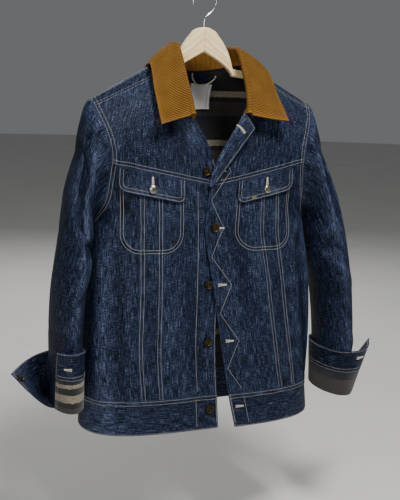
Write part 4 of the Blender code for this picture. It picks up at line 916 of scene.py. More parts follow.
# around (turns from the tip toward the front) and along (rings from the armhole), twice, then width and depth
SLEEVE_FOLDS = {
    "right": (
        (0.10, 0.2, 0.17, 2.6, 0.035, -0.010),
        (0.02, 0.6, 0.06, 4.6, 0.060, 0.006),
        (0.44, 0.9, 0.22, 2.4, 0.035, 0.007),
        (0.46, 1.8, 0.26, 3.0, 0.030, -0.006),
        (0.46, 2.4, 0.28, 3.8, 0.035, 0.006),
        (0.86, 0.4, 0.78, 2.8, 0.045, -0.008),
        (0.62, 2.2, 0.80, 3.6, 0.035, 0.006),
        (0.08, 0.4, 0.11, 2.0, 0.012, -0.0040),
        (0.17, 0.5, 0.20, 2.3, 0.013, 0.0035),
        (0.40, 0.7, 0.20, 1.5, 0.012, -0.0030),
        (0.44, 1.4, 0.24, 2.0, 0.012, 0.0030),
        (0.40, 2.2, 0.16, 2.9, 0.013, -0.0030),
        (0.36, 2.9, 0.12, 3.3, 0.014, 0.0034),
        (0.42, 3.4, 0.18, 4.1, 0.014, -0.0030),
        (0.30, 4.0, 0.08, 4.6, 0.016, 0.0030),
        (0.38, 4.6, 0.14, 5.2, 0.014, -0.0026),
        (0.04, 1.6, 0.98, 3.0, 0.016, -0.0026),
        (0.60, 1.0, 0.78, 2.0, 0.014, -0.0030),
        (0.62, 3.2, 0.84, 4.0, 0.016, 0.0030),
        (0.70, 4.2, 0.92, 4.8, 0.014, -0.0028),
        (0.94, 0.6, 0.90, 2.2, 0.014, 0.0030),
    ),
    "left": (
        (0.12, 0.3, 0.20, 2.4, 0.035, -0.008),
        (0.02, 0.6, 0.05, 4.8, 0.060, 0.006),
        (0.44, 1.0, 0.24, 2.6, 0.035, 0.006),
        (0.44, 2.4, 0.26, 3.8, 0.035, 0.005),
        (0.87, 0.4, 0.79, 2.9, 0.045, -0.008),
        (0.62, 2.2, 0.80, 3.6, 0.035, 0.006),
        (0.09, 0.5, 0.14, 2.2, 0.013, -0.0036),
        (0.19, 0.6, 0.24, 2.0, 0.013, 0.0032),
        (0.42, 0.8, 0.22, 1.7, 0.012, -0.0030),
        (0.40, 1.7, 0.18, 2.4, 0.013, 0.0030),
        (0.42, 2.6, 0.20, 3.2, 0.014, -0.0032),
        (0.34, 3.3, 0.10, 3.8, 0.014, 0.0032),
        (0.40, 3.9, 0.16, 4.5, 0.014, -0.0028),
        (0.30, 4.5, 0.06, 5.1, 0.016, 0.0028),
        (0.06, 2.2, 0.98, 3.4, 0.016, -0.0026),
        (0.62, 1.2, 0.80, 2.1, 0.014, -0.0030),
        (0.60, 3.3, 0.82, 4.1, 0.016, 0.0030),
        (0.72, 4.3, 0.94, 4.9, 0.014, -0.0026),
        (0.93, 0.7, 0.89, 2.4, 0.014, 0.0028),
    ),
}


def armhole(side):
    """The armhole's points, from the tip down the front to the armpit and up the back."""
    down = flat_front[side][ARMPIT_ROW * FINE:, -1][::-1]
    up = flat_back[ARMPIT_ROW * FINE:, 0]
    return np.concatenate((down, up[1:-1]))


def armhole_angles(loop):
    """Where the armhole's points lie round a ring of the sleeve, by their share of its front and back."""
    lengths = distances(np.concatenate((loop, loop[:1])))
    pit = len(loop) // 2
    front = np.pi * lengths[:pit + 1] / lengths[pit]
    rear = np.pi + np.pi * (lengths[pit + 1:-1] - lengths[pit]) / (lengths[-1] - lengths[pit])
    return np.concatenate((front, rear))


def sleeve_ring(side, at, angles):
    """A ring of a sleeve below the armhole; 'at' counts the rings of its table from 0."""
    outer_x, outer_z, inner_x, inner_z, y, depth = [column(RINGS[side], k, at) for k in range(1, 7)]
    outer, inner = np.array((outer_x, y, outer_z)), np.array((inner_x, y, inner_z))
    across = (outer - inner) / 2 * np.cos(angles)[:, None]
    return (outer + inner) / 2 + across + np.array((0, -depth, 0)) * np.sin(angles)[:, None]


def sleeve_push(side, angles, place):
    """How far a sleeve's folds move a ring out, at each of its angles."""
    push = np.zeros(len(angles))
    for start, top, end, bottom, width, depth in SLEEVE_FOLDS[side]:
        fold = (start * SLEEVE_GIRTH, top * RING_STEP, end * SLEEVE_GIRTH, bottom * RING_STEP, width)
        for turn in (-1, 0, 1):
            around = (angles / (2 * np.pi) + turn) * SLEEVE_GIRTH
            push += depth * near(np.stack((around, np.full(len(around), place * RING_STEP)), 1), fold)
    return push


def sleeve_rows(side):
    """A sleeve's rings from the armhole down to where it is turned up, with its folds."""
    loop = armhole(side)
    angles = armhole_angles(loop)
    cap = sleeve_ring(side, 0, angles)
    places = [0.0]
    for k, ring in enumerate(RINGS[side]):
        places += [k + (c + 1) / ring[0] for c in range(ring[0])]
    fall = np.linalg.norm(cap - loop, axis=1)[:, None] * np.array((0, 0, CAP_FALL))
    out = np.array((CAP_OUT, 0, 0))
    first = np.array([bezier(a, a + out, b + c, b, CAP_SAMPLES) for a, b, c in zip(loop, cap, fall)])
    rows = []
    for place in finely(places):
        if place < 1:
            low = min(int(place * CAP_SAMPLES), CAP_SAMPLES - 1)
            share = place * CAP_SAMPLES - low
            row = first[:, low] * (1 - share) + first[:, low + 1] * share
        else:
            row = sleeve_ring(side, place - 1, angles)
        if 0 < place < len(RINGS[side]):
            row = row + unit(row - row.mean(0)) * sleeve_push(side, angles, place)[:, None]
        rows.append(row)
    return np.array(rows), angles


ring_angles = {}
for side, sense in SENSES.items():
    rows, ring_angles[side] = sleeve_rows(side)
    under = UNDER_SLEEVE[0] * FINE
    rolled = placed(side, np.concatenate((rows[:, under:], rows[:, :under + 1]), 1))
    normals = facing(rolled, sense)
    cells, around = (rolled.shape[0] - 1) // FINE, (rolled.shape[1] - 1) // FINE
    cut = UNDER_SLEEVE[1] - UNDER_SLEEVE[0]
    block = cut_out(rolled, normals, (0, cells, 0, cut))
    sew("sleeve_under_" + side, *block, CLOTH, sense, LINED, "denim", (0.135, 0.420), 0.0520, straight=True,
        rests_on=("front_side_" + side,))
    block = cut_out(rolled, normals, (0, cells, cut, around))
    sew("sleeve_top_" + side, *block, CLOTH, sense, LINED, "denim", (0.290, 0.520), 0.1100, ("left",),
        straight=True, rests_on=("front_yoke_" + side, "back_yoke"))
    sew_border("sleeve_" + side, "sleeve_top_" + side, "left")
    thread_piece("sleeve_" + side)


# ---------------------------------------------------------------- turned-up cuffs
# The sleeves are turned up once, so their striped lining shows outside with the wide denim cuff above
# it, open at its slit. The cuff's own outside, with its button, faces the sleeve.
SLIT_CELL = {"right": 2, "left": 17}
TURNUP_OFF = 0.0052
TURNUP_TOP = {"right": 0.112, "left": 0.090}
TURNUP_GRID_ROWS = 12     # on the lining's part, and as many on the cuff's
CUFF_SHARE = 0.51         # of the turn-up's height, where the cuff is sewn on
SLIT_START = 0.012        # the rows beside the slit start this far above the turned fold
FLARES = {                # x, y, z, spread, sag_spread, bend of each side of the slit
    "right": ((0.000, -0.024, 0.000, 0.22, 0.22, 1.0), (0.064, 0.070, -0.062, 0.50, 0.80, 0.75)),
    "left": ((0.104, 0.014, -0.019, 0.42, 0.42, 0.75), (0.016, 0.026, -0.006, 0.22, 0.22, 1.0)),
}
CUFF_STRIPES = {          # widths and colours, up from the turned fold
    "right": (
        (0.015, EARTH), (0.010, DUSK), (0.015, CREAM), (0.013, DUSK), (0.007, CREAM), (0.030, DUSK),
    ),
    "left": ((0.036, EARTH), (0.054, DUSK)),
}
STRIPES_START, STRIPES_PERIOD = 0.004, 0.090
turned_lining = {
    side: blanket("blanket_lining_%s_cuff" % side, True, STRIPES_PERIOD, STRIPES_START, *stripes)
    for side, stripes in CUFF_STRIPES.items()
}


def turnup_row(side, angles, height, offset, share):
    """One row of a turn-up, round from one edge of the slit to the other."""
    count, slit = len(angles), SLIT_CELL[side] * FINE
    rise = RINGS[side][-2][2] - RINGS[side][-1][2]
    ring = sleeve_ring(side, len(RINGS[side]) - 1 - max(height, 0) / rise, angles)
    along = np.roll(ring, -1, 0) - np.roll(ring, 1, 0)
    square = unit(np.stack((-along[:, 1], along[:, 0], np.zeros(count)), 1))
    square = square * np.sign(np.sum(square * (ring - ring.mean(0)), 1))[:, None]
    points = ring + square * offset + np.array((0, 0, min(height, 0)))
    order = (slit + np.arange(count + 1)) % count
    turn = ((angles[order] - angles[slit]) / (2 * np.pi)) % 1
    turn[-1] = 1.0
    points = points[order]
    for (x, y, z, spread, sag_spread, bend), distance in zip(FLARES[side], (turn, 1 - turn)):
        out = np.maximum(1 - distance / spread, 0) ** 1.5
        sag = np.maximum(1 - distance / sag_spread, 0)
        sag = sag * sag * (3 - 2 * sag)
        points = points + np.stack((x * out, y * out, z * sag), 1) * share**bend
    return points


for side, sense in SENSES.items():
    top, rows = TURNUP_TOP[side], []
    for turn in np.radians(range(0, 180, 30)):
        rows.append((-TURNUP_OFF / 2 * math.sin(turn), TURNUP_OFF / 2 * (1 - math.cos(turn)), 0.0))
    seam, end = [(len(rows) + TURNUP_GRID_ROWS * parts) / FINE for parts in (1, 2)]
    shares = np.concatenate((
        np.linspace(0, CUFF_SHARE, TURNUP_GRID_ROWS + 1),
        np.linspace(CUFF_SHARE, 1, TURNUP_GRID_ROWS + 1)[1:],
    ))
    rows += [(top * share, TURNUP_OFF, share) for share in shares]
    grid = placed(side, np.array([turnup_row(side, ring_angles[side], *row) for row in rows]))
    normals, around = facing(grid, sense), (grid.shape[1] - 1) // FINE
    cuff, turnup, group = "cuff_" + side, "turnup_" + side, "cuff_" + side
    block = cut_out(grid, normals, (0, seam, 0, around))
    sew(turnup, *block, CLOTH, sense, (denim, turned_lining[side]), "lining", (0.400, 0.056), 0.0200,
        rests_on=("sleeve_top_" + side,))
    block = cut_out(grid, normals, (seam, end, 0, around))
    sew(cuff, *block, BAND, sense, FACED, "denim", (0.420, 0.052), 0.0200, crosswise=True, rests_on=(turnup,))
    sew_border(group, cuff, "low", inward=True)
    sew_border(group, turnup, "left", inward=True, start=SLIT_START)
    for border in ("high", "left", "right"):
        for inward in (True, False):
            sew_border(group, cuff, border, ONE_ROW, inward)
    thread_piece(group)


# ---------------------------------------------------------------- collar
# Golden-brown corduroy over an undercollar: up from the neckline, over a soft fold and down to long
# points. Its fine ridges run from the fold to the outer edge; the outer edge is turned and pressed.
COLLAR = (                # at (neckline cells from the right end), fold x, y, z, outer edge x, y, z
    (0, -0.047, -0.089, -0.020, -0.113, -0.097, -0.037),
    (2, -0.053, -0.052, 0.040, -0.115, -0.064, 0.018),
    (4, -0.056, -0.008, 0.101, -0.111, -0.020, 0.068),
    (6.5, -0.044, 0.045, 0.104, -0.082, 0.080, 0.052),
    (9, 0.003, 0.068, 0.100, 0.003, 0.098, 0.036),
    (11.5, 0.047, 0.043, 0.100, 0.082, 0.078, 0.050),
    (14, 0.061, -0.009, 0.096, 0.119, -0.006, 0.067),
    (16, 0.064, -0.048, 0.042, 0.131, -0.050, 0.016),
    (18, 0.053, -0.092, -0.016, 0.133, -0.097, -0.029),
)
CORD = 0.0030
FOLD_RADIUS = 0.0042
FALL_BOW = 0.004
STAND_ROWS, FALL_ROWS = 8, 16


def without(vectors, direction):
    """What is left of the vectors square to a direction."""
    return vectors - direction * np.sum(vectors * direction, 1)[:, None]


neck = NECK_CELLS_FRONT * FINE
roots = np.concatenate((
    fronts["right"][0][-1][:neck + 1],
    back[-1][SHOULDER_CELLS * FINE:-SHOULDER_CELLS * FINE][1:-1],
    fronts["left"][0][-1][:neck + 1][::-1],
))
keys = [row[0] for row in COLLAR]
places = np.arange(len(roots)) / FINE
folds, outers = [
    np.array([[column(COLLAR, k, at, keys) for k in axes] for at in places]) + (0, 0, Z_TIP)
    for axes in ((1, 2, 3), (4, 5, 6))
]
along = unit(np.concatenate((folds[1:2] - folds[:1], folds[2:] - folds[:-2], folds[-1:] - folds[-2:-1])))
up = unit(without(folds - roots, along))
across = unit(without(without(outers - folds, up), along))
rows = [roots + (folds - roots) * share for share in np.linspace(0, 1, STAND_ROWS + 1)[:-1]]
centre = folds + across * FOLD_RADIUS
for turn in np.radians(range(180, -1, -20)):
    rows.append(centre + (across * math.cos(turn) + up * math.sin(turn)) * FOLD_RADIUS)
edge_start = rows[-1]
for share in np.linspace(0, 1, FALL_ROWS + 1)[1:]:
    rows.append(edge_start + (outers - edge_start) * share + across * (FALL_BOW * math.sin(math.pi * share)))
collar_rows = np.array(rows)

# Corduroy: a cut-pile cotton with fine ridges, a little uneven, rubbed lighter at its edges. The real
# ridges are 1.6 mm apart; they are drawn 3 mm apart, so that they show.
RIDGE_PITCH = 0.0030
corduroy, shader = new_material("golden_brown_corduroy", Roughness=0.92, Specular_IOR_Level=0.15)
plug(shader, Sheen_Weight=0.12, Sheen_Roughness=0.4, Sheen_Tint=linear("#B98A45"))
place = add_node(corduroy, "UVMap", {"uv_map": "cloth"})
wander = add_node(corduroy, "TexNoise", Vector=place, Scale=60.0, Detail=2.0)
pile = add_node(corduroy, "TexNoise", Vector=place, Scale=1300.0, Detail=2.0)
patchy = add_node(corduroy, "TexNoise", Vector=place, Scale=45.0, Detail=3.0)
rubbed = add_node(corduroy, "Attribute", {"attribute_name": "wear"}, "Fac")
bent = total(corduroy, (wander, 0.0016), (add_node(corduroy, "SeparateXYZ", take="X", Vector=place), 1.0))
turns = add_node(corduroy, "Math", {"operation": "MULTIPLY"}, _0=bent, _1=2 * math.pi / RIDGE_PITCH)
wave = add_node(corduroy, "Math", {"operation": "SINE"}, _0=turns)
ridge = add_node(corduroy, "MapRange", Value=wave, From_Min=-1.0, From_Max=1.0)
shade = total(corduroy, (ridge, 0.46), (pile, 0.36), (patchy, 0.16), (rubbed, 0.16))
dyed = add_node(corduroy, "ValToRGB", Fac=shade)
colours(dyed, (0.26, "#2C1A06"), (0.50, "#674313"), (0.76, "#8F6829"))
ribs = add_node(corduroy, "Bump", Height=ridge, Strength=0.9, Distance=0.0010)
nap = add_node(corduroy, "Bump", Height=patchy, Strength=0.4, Distance=0.003, Normal=ribs)
plug(shader, Base_Color=dyed, Normal=nap)

sew("collar", collar_rows, facing(collar_rows, -1), CORD, -1, (corduroy, corduroy), "corduroy",
    (0.480, 0.180), 0.0620, straight=True, rests_on=("back_yoke",))


# ---------------------------------------------------------------- folded-back corner of the left front
# Above the second button the left front's corner falls open, so its facing shows as a small lapel
# with a buttonhole, rolled softly over its own edge.
LAPEL_ROOT = 0.004
LAPEL_LIFT = 0.0064
LAPEL_TIP = np.array((0.068, -0.093, -0.042 + Z_TIP))
LAPEL_ROLL = np.radians((18, 36, 54, 72, 90, 108, 125))
LAPEL_CELLS = 14          # from the roll to the outer edge
LAID_EDGE = (ROLL_DOWN / 2, 0.0012, 0.005)      # as for sewn panels, on a small piece
grid, normals = fronts["left"]
foot, yoke_steps = YOKE_ROW * FINE, YOKE_CELLS * FINE
root = grid[foot, 0] + normals[foot, 0] * LAPEL_LIFT + np.array((LAPEL_ROOT, 0, 0))
rows = []
for r in range(yoke_steps + 1):
    k = foot + r
    edge, normal = grid[k, 0], normals[k, 0]
    outward = np.cross(normal, grid[min(k + 1, len(grid) - 1), 0] - grid[k - 1, 0])
    outward = unit(outward if outward @ (grid[k, 1] - edge) > 0 else -outward)
    centre = edge + normal * LAPEL_LIFT / 2
    spokes = [-normal * math.cos(turn) - outward * math.sin(turn) for turn in LAPEL_ROLL]
    row = [(centre + spoke * LAPEL_LIFT / 2, spoke) for spoke in spokes]
    start, end = edge + normal * LAPEL_LIFT, root + (LAPEL_TIP - root) * r / yoke_steps
    row += [(start + (end - start) * share, normal) for share in np.linspace(0, 1, LAPEL_CELLS + 1)[1:]]
    rows.append(row)
points, normal = np.array(rows).transpose(2, 0, 1, 3)
sew("lapel_left", points, normal, CLOTH, 1, FACED, "denim", (0.070, 0.150), 0.0040, edge=LAID_EDGE,
    rests_on=("front_yoke_left",))
sew_border("lapel", "lapel_left", "right", ONE_ROW, start=0.012)
sew_border("lapel", "lapel_left", "high", ONE_ROW, start=0.006)
thread_piece("lapel")


# ---------------------------------------------------------------- pocket flaps
# Each chest pocket has a denim flap let into the yoke seam, with round lower corners, two lines of
# stitches round it and a buttonhole above its button. A small plain tab is sewn on the left one's edge.
FLAP_DROP = 0.042
FLAP_CORNER = 0.016
FLAP_START = 0.002
FLAP_STAND_OFF = 0.004
FLAP_CELLS = (32, 10)     # across, down
TAPE = 0.0010
TAB_ACROSS = (0.029, 0.038)
TAB_DOWN = (0.80, 0.97)
TAB_POINTS = (9, 5)       # across, down


def down_from(profile, drops, top=None):
    """Points and normals at distances down a profile, from its first point or from a height."""
    lengths = distances(profile[:, :3])
    start = 0 if top is None else np.interp(-top, -profile[:, 2], lengths)
    found = np.stack([np.interp(start + drops, lengths, values) for values in profile.T], 1)
    return found[:, :3], unit(found[:, 3:])


def below_seam(side, across, drops):
    """Points and normals of a front at these distances down the cloth from its yoke seam."""
    return down_from(profile_at(side, across)[YOKE_ROW * FINE::-1], drops)


def reach_down(place, width, length, corner):
    """How far down a piece with round lower corners reaches, at a place along it."""
    cut = max(corner - min(place, width - place), 0)
    return length - corner + math.sqrt(max(corner**2 - cut**2, 0))


def hung(width, length, corner, cells, lie):
    """Points and normals of a piece with round lower corners; 'lie' gives a column of them at a place."""
    columns, rows = cells
    found = []
    for place in width * (1 - np.cos(np.linspace(0, np.pi, columns + 1))) / 2:
        shares = np.linspace(0, 1, rows + 1)
        found.append(lie(place, reach_down(place, width, length, corner) * shares, shares))
    return np.array(found).transpose(1, 2, 0, 3)


def flap_column(side, x, drops, shares):
    """Points and normals down a flap's middle, which stands off the front more toward its lower edge."""
    points, normal = below_seam(side, FLAP_ACROSS[side] + x, FLAP_START + drops)
    return points + normal * (CLOTH + LIFT + FLAP_STAND_OFF * shares[:, None] ** 1.5), normal


def on_flap(side, x, y):
    """A point and normal of a flap's outer face, x along it and y down it."""
    shares = np.array([min(y / reach_down(x, FLAP_WIDTH, FLAP_DROP, FLAP_CORNER), 1)])
    points, normal = flap_column(side, x, np.array([y]), shares)
    return points[0] + normal[0] * CLOTH / 2, normal[0]


for side, sense in SENSES.items():
    points, normal = hung(
        FLAP_WIDTH, FLAP_DROP, FLAP_CORNER, FLAP_CELLS, lambda *place: flap_column(side, *place))
    sew("flap_" + side, points, normal, CLOTH, -sense, FACED, "denim", (0.122, 0.042), 0.0049, edge=LAID_EDGE,
        rests_on=("front_centre_" + side,))
    for inset in SEAM_ROWS:
        turn, low = FLAP_CORNER - inset, FLAP_DROP - FLAP_CORNER
        path = [(inset, 0.0)] + arc(FLAP_CORNER, low, turn, 180, 89, -10)
        path += arc(FLAP_WIDTH - FLAP_CORNER, low, turn, 90, -1, -10) + [(FLAP_WIDTH - inset, 0.0)]
        stitch_path("flaps", path, lambda *place: on_flap(side, *place))
thread_piece("flaps")

# White woven tape, plain, with a fine crosswise rib; and dark olive tape for the flap's tab.
tape, shader = new_material("white_woven_tape", Roughness=0.75)
place = add_node(tape, "UVMap", {"uv_map": "cloth"})
scaled = add_node(tape, "Mapping", Vector=place, Scale=(250.0, 1250.0, 1.0))
rib = add_node(tape, "TexNoise", Vector=scaled, Scale=1.0, Detail=1.0)
woven = colours(add_node(tape, "ValToRGB", Fac=rib), (0.3, "#ECEAEA"), (0.7, "#FCFBFA"))
plug(shader, Base_Color=woven, Normal=add_node(tape, "Bump", Height=rib, Strength=0.5, Distance=0.0004))

dark_tape, shader = new_material("dark_woven_tape", Roughness=0.7)
place = add_node(dark_tape, "UVMap", {"uv_map": "cloth"})
rib = add_node(dark_tape, "TexNoise", Vector=place, Scale=1500.0, Detail=1.0)
plug(shader, Base_Color=colours(add_node(dark_tape, "ValToRGB", Fac=rib), (0.3, "#2E2C1E"), (0.7, "#6F6A48")))

across, down = TAB_POINTS
tab = [
    [on_flap("left", x, FLAP_DROP * share) for x in np.linspace(*TAB_ACROSS, across)]
    for share in np.linspace(*TAB_DOWN, down)
]
points, normal = np.array(tab).transpose(2, 0, 1, 3)
points = points + normal * (LIFT + TAPE / 2)
sew("flap_tab", points, normal, TAPE, -1, (dark_tape, dark_tape), "label", plain=True)


# ---------------------------------------------------------------- lining, labels and patch at the neck
# The striped blanket lining hangs loose inside the back. At the neck a plain white woven label and a
# narrow side label are sewn to it, under a half-moon of denim bound with cream piping.
LINING = 0.0014
LINING_LIFT = 0.0015
LINING_IN = 0.17          # cells from the neckline, and from the armpit's row
LABEL_OFF = CLOTH / 2 + LINING_LIFT + LINING + 0.0028
LABEL_CELLS = (24, 8)
LABEL_ROW = 0.0008        # its stitches are this far in,
LABEL_THREAD_OFF = 0.0006 # and this far off its middle
PIPING_RISES = (0.0004, 0.0008)     # its two turns round the patch's edge
PIPING_PITCH, PIPING_HALF, PIPING_R = 0.0012, 0.0013, 0.0016
HALF_MOON = 0.87          # of its width times its length
NECK_PIECES = (           # node, middle across, top height, width, length, extra lift, lower corners' radius
    ("label_main", 0.023, 0.037, 0.044, 0.054, 0.0, 0.0),
    ("label_side", 0.0495, 0.037, 0.008, 0.054, 0.0, 0.0),
    ("neck_patch", 0.0265, 0.056, 0.052, 0.024, 0.0015, 0.022),
)
LEAST_WIDTH = 0.010       # of a piece's cut size, as given to sew
lining_box = (ARMPIT_ROW + LINING_IN, TOP_ROW - LINING_IN, 1, last - 1)
sew("lining_back", *cut_out(back, back_normals, lining_box), LINING, -1, (lining, lining), "lining",
    (0.470, 0.320), 0.1180, out=-(CLOTH / 2 + LINING_LIFT + LINING / 2), rests_on=("back_yoke",))

charts["back"] = chart_of(back[:, MIDDLE_COLUMN * FINE:], -back_normals[:, MIDDLE_COLUMN * FINE:])
piping_cotton = sewing_cotton("cream_piping_cotton", "#CFC8B2", "#EDE6D2")


def neck_column(across, height, off, drops):
    """Points and normals down a label, hung from a height inside the back and off its cloth."""
    points, normal = down_from(profile_at("back", across)[::-1], drops, height + Z_TIP)
    return points + normal * off, normal


for node, middle, height, width, length, lift, corner in NECK_PIECES:
    start, off = middle - width / 2, LABEL_OFF + lift
    points, normal = hung(
        width, length, corner, LABEL_CELLS,
        lambda place, drops, shares: neck_column(start + place, height, off, drops))
    area = width * length * (HALF_MOON if corner else 1.0)
    sew(node, points, normal, TAPE, 1, FACED if corner else (tape, tape), "denim" if corner else "label",
        (max(width, LEAST_WIDTH), length), area, plain=True, rests_on=("lining_back",))
    if corner:
        edge, square = [np.concatenate((v[:, 0], v[-1, 1:-1], v[::-1, -1])) for v in (points, normal)]
        for rise in PIPING_RISES:
            stitch("piping", edge + square * rise, square, 0.0, 0.0, PIPING_PITCH)
    else:
        for border in ("left", "right"):
            row = along_border((points + normal * LABEL_THREAD_OFF, normal, points), border, LABEL_ROW)
            stitch("labels", *row)
thread_piece("labels")
thread_piece("piping", PIPING_HALF, PIPING_R, piping_cotton)


# ---------------------------------------------------------------- buttons and buttonholes
# Two-part shank buttons, hammered on: a rolled rim round a dished face on a short shank. The fronts'
# and cuffs' are bronze gone brown; the pockets' are domed and silvery. Buttonholes are worked in cream.
SHANK_R = 0.0035
SHANK_HEIGHT = 0.0020
SHANK = [(0, 0), (SHANK_R, 0), (SHANK_R, SHANK_HEIGHT)]
DISHED = SHANK + [        # half profiles: distance from the middle, height
    (0.0072, SHANK_HEIGHT), (0.0080, 0.0027), (0.0080, 0.0042), (0.0075, 0.0050), (0.0068, 0.0052),
    (0.0062, 0.0047), (0.0056, 0.0044), (0.0034, 0.0044), (0.0026, 0.0048), (0.0014, 0.0051), (0, 0.0052),
]
DOMED = SHANK + [
    (0.0074, SHANK_HEIGHT), (0.0080, 0.0028), (0.0078, 0.0034), (0.0068, 0.0043), (0.0050, 0.0050),
    (0.0028, 0.0054), (0, 0.0055),
]
SPIN_STEPS = 32
FRONT_BUTTONS = (         # front, inset from its edge, height
    ("right", 0.0215, -0.121),
    ("left", 0.0175, -0.224),
    ("right", 0.0195, -0.330),
    ("right", 0.0170, -0.437),
    ("right", 0.0190, -0.566),
)
WAISTBAND_HEIGHT = -0.545
CUFF_BUTTON_IN = 0.0031   # from the button's middle to its seat


# Cast and tumbled metal: cloudy tarnish in two tones, with slight dents.
def metal(name, low, high, rough):
    made, shader = new_material(name, Metallic=1.0, Roughness=rough)
    spot = add_node(made, "TexCoord", take="Object")
    cloud = add_node(made, "TexNoise", Vector=spot, Scale=420.0, Detail=4.0)
    dents = add_node(made, "Bump", Height=cloud, Strength=0.25, Distance=0.0004)
    tarnish = colours(add_node(made, "ValToRGB", Fac=cloud), (0.35, low), (0.65, high))
    plug(shader, Base_Color=tarnish, Normal=dents)
    return made


bronze = metal("bronze_gone_brown", "#0B0906", "#574A33", 0.42)
silver = metal("worn_nickel_silver", "#6A665C", "#BDB8AC", 0.30)


def shank_button(node, seat, direction, profile, finish, slot):
    """Spun from its half profile about +Z as by hand, then stood on its seat."""
    mesh = bpy.data.meshes.new("metal_" + node)
    mesh.from_pydata([(x, 0, z) for x, z in profile], [(k, k + 1) for k in range(len(profile) - 1)], [])
    piece = bpy.data.objects.new("metal_" + node, mesh)
    bpy.context.scene.collection.objects.link(piece)
    bpy.ops.object.select_all(action="DESELECT")
    piece.select_set(True)
    bpy.context.view_layer.objects.active = piece
    bpy.ops.object.mode_set(mode="EDIT")
    bpy.ops.mesh.select_all(action="SELECT")
    bpy.ops.mesh.spin(steps=SPIN_STEPS, angle=2 * math.pi, center=(0, 0, 0), axis=(0, 0, 1))
    bpy.ops.mesh.select_all(action="SELECT")
    bpy.ops.mesh.remove_doubles(threshold=0.00001)
    bpy.ops.mesh.normals_make_consistent(inside=False)
    bpy.ops.object.mode_set(mode="OBJECT")
    bpy.ops.object.shade_smooth_by_angle(angle=math.radians(40))
    stand = Vector(direction).to_track_quat("Z", "Y").to_matrix().to_4x4()
    mesh.transform(Matrix.Translation(Vector(seat) + Vector(direction) * LIFT) @ stand)
    mesh.materials.append(finish)
    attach(piece, "root")
    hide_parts(node)


for k, (side, inset, height) in enumerate(FRONT_BUTTONS):
    under = BAND if height < WAISTBAND_HEIGHT else CLOTH
    seat = on_front(side, inset, height, under / 2)
    shank_button("front_button_%d" % (k + 1), *seat, DISHED, bronze, "patina")
for side in SENSES:
    seat = on_flap(side, FLAP_WIDTH / 2, FLAP_DROP * 2 / 3)
    shank_button("pocket_button_" + side, *seat, DOMED, silver, "silver")
    low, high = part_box("cuff_button_" + side)
    outer, normal, inner = panels["cuff_" + side]
    middle = np.array((low + high) / 2)
    spot = np.unravel_index(np.argmin(np.linalg.norm(outer - middle, axis=2)), outer.shape[:2])
    seat = middle - normal[spot] * CUFF_BUTTON_IN
    shank_button("cuff_button_" + side, seat, normal[spot], DISHED, bronze, "patina")

# Buttonholes: short cream stitches across both edges of a slit, which opens toward one end.
HOLE_PITCH = 0.0008
HOLE_HALF, HOLE_THREAD_R = 0.0010, 0.00048
HOLE_RISE = 0.0003
FRONT_HOLES = (           # across from, to, height, lift
    (0.010, 0.026, -0.121, 0.0011),
    (0.010, 0.026, -0.330, 0.0011),
    (0.010, 0.026, -0.437, 0.0011),
    (0.010, 0.026, -0.566, 0.0015),
    (0.020, 0.036, -0.225, 0.0011),
)
FLAP_HOLE = (0.006, 0.024)          # down the flap
CUFF_HOLES = {"right": (5, slice(13, 23)), "left": (8, slice(38, 50))}      # row and columns of its grid
LAPEL_HOLE = (30, slice(4, 15))
CUFF_HOLE_OFF, LAPEL_HOLE_OFF = 0.0006, 0.0004
cream_thread = sewing_cotton("cream_buttonhole_thread", "#B4AC98", "#DDD6C4")


def buttonhole(points, normals, first, last):
    """Worked edges either side of a slit along a path, this wide open at its first and last point."""
    lengths = distances(points)
    heading = unit(points[-1] - points[0])
    for place in np.arange(0, lengths[-1], HOLE_PITCH):
        middle, normal = [
            np.array([np.interp(place, lengths, values) for values in rows.T]) for rows in (points, normals)
        ]
        side = unit(np.cross(normal, heading))
        half = (first + (last - first) * place / lengths[-1]) / 2
        for away in (-half, half):
            worked = [middle + normal * HOLE_RISE + side * away, side, unit(normal)]
            threads.setdefault("buttonholes", []).append(np.array([worked]))


for first, last, height, lift in FRONT_HOLES:
    ends = [on_front("left", across, height, lift) for across in (first, last)]
    buttonhole(*np.array(ends).transpose(1, 0, 2), 0.0036, 0.0010)
for side in SENSES:
    ends = [on_flap(side, FLAP_WIDTH / 2, down) for down in FLAP_HOLE]
    buttonhole(*np.array(ends).transpose(1, 0, 2), 0.0010, 0.0034)
    outer, normal, inner = panels["cuff_" + side]
    path = CUFF_HOLES[side]
    buttonhole(inner[path] - normal[path] * CUFF_HOLE_OFF, -normal[path], 0.0012, 0.0034)
outer, normal, inner = panels["lapel_left"]
path = LAPEL_HOLE
buttonhole(outer[path] + normal[path] * LAPEL_HOLE_OFF, normal[path], 0.0012, 0.0030)
thread_piece("buttonholes", HOLE_HALF, HOLE_THREAD_R, cream_thread)


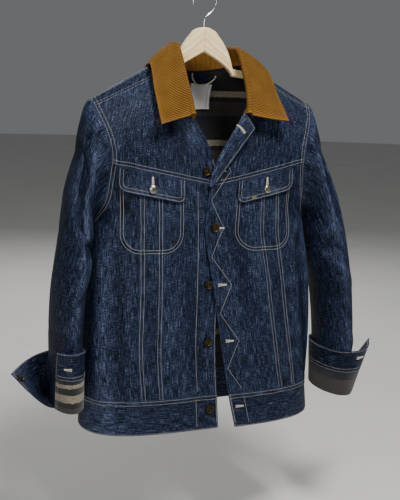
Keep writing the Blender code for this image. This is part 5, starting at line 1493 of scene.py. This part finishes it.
# ---------------------------------------------------------------- hanger
# A flat beech hanger, sawn and sanded, its two halves glued up under the hook; and a bent steel wire
# hook screwed into its top. Both keep their solids' shapes.
GRAIN_SLOPE = 0.75        # the grain falls with the arms
beech, shader = new_material("sanded_beech", Roughness=0.5, Specular_IOR_Level=0.4)
spot = add_node(beech, "TexCoord", take="Object")
x, y, z = [add_node(beech, "SeparateXYZ", take=axis, Vector=spot) for axis in "XYZ"]
spread = add_node(beech, "Math", {"operation": "ABSOLUTE"}, _0=x)
along_arm = add_node(beech, "CombineXYZ", X=spread, Y=y, Z=total(beech, (spread, GRAIN_SLOPE), (z, 1.0)))
scaled = add_node(beech, "Mapping", Vector=along_arm, Scale=(14.0, 60.0, 260.0))
figure = add_node(beech, "TexNoise", Vector=scaled, Scale=1.0, Detail=4.0, Distortion=0.6)
scaled = add_node(beech, "Mapping", Vector=along_arm, Scale=(160.0, 400.0, 1300.0))
fleck = add_node(beech, "TexNoise", Vector=scaled, Scale=1.0, Detail=2.0)
grain = total(beech, (fleck, 0.35), (figure, 1.0))
sawn = add_node(beech, "ValToRGB", Fac=grain)
colours(sawn, (0.48, "#D2AC70"), (0.66, "#F0D29C"), (0.86, "#FFEBC4"))
joint = add_node(
    beech, "MapRange", Value=spread, From_Min=0.0001, From_Max=0.0008, To_Min=0.62, To_Max=1.0)
glued = add_node(
    beech, "Mix", {"data_type": "RGBA", "blend_type": "MULTIPLY"}, 2, Factor=1.0, _6=sawn, _7=joint)
pores = add_node(beech, "Bump", Height=grain, Strength=0.25, Distance=0.0005)
plug(shader, Base_Color=glued, Normal=pores)
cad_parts["hanger_wood"].material_slots[0].material = beech

# Drawn steel wire, bright with faint streaks.
steel, shader = new_material("drawn_steel_wire", Metallic=1.0, Roughness=0.24)
spot = add_node(steel, "TexCoord", take="Object")
drawn = add_node(steel, "TexNoise", Vector=spot, Scale=300.0, Detail=3.0)
plug(shader, Base_Color=colours(add_node(steel, "ValToRGB", Fac=drawn), (0.3, "#9A9B9E"), (0.7, "#C4C5C8")))
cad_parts["hanger_hook"].material_slots[0].material = steel
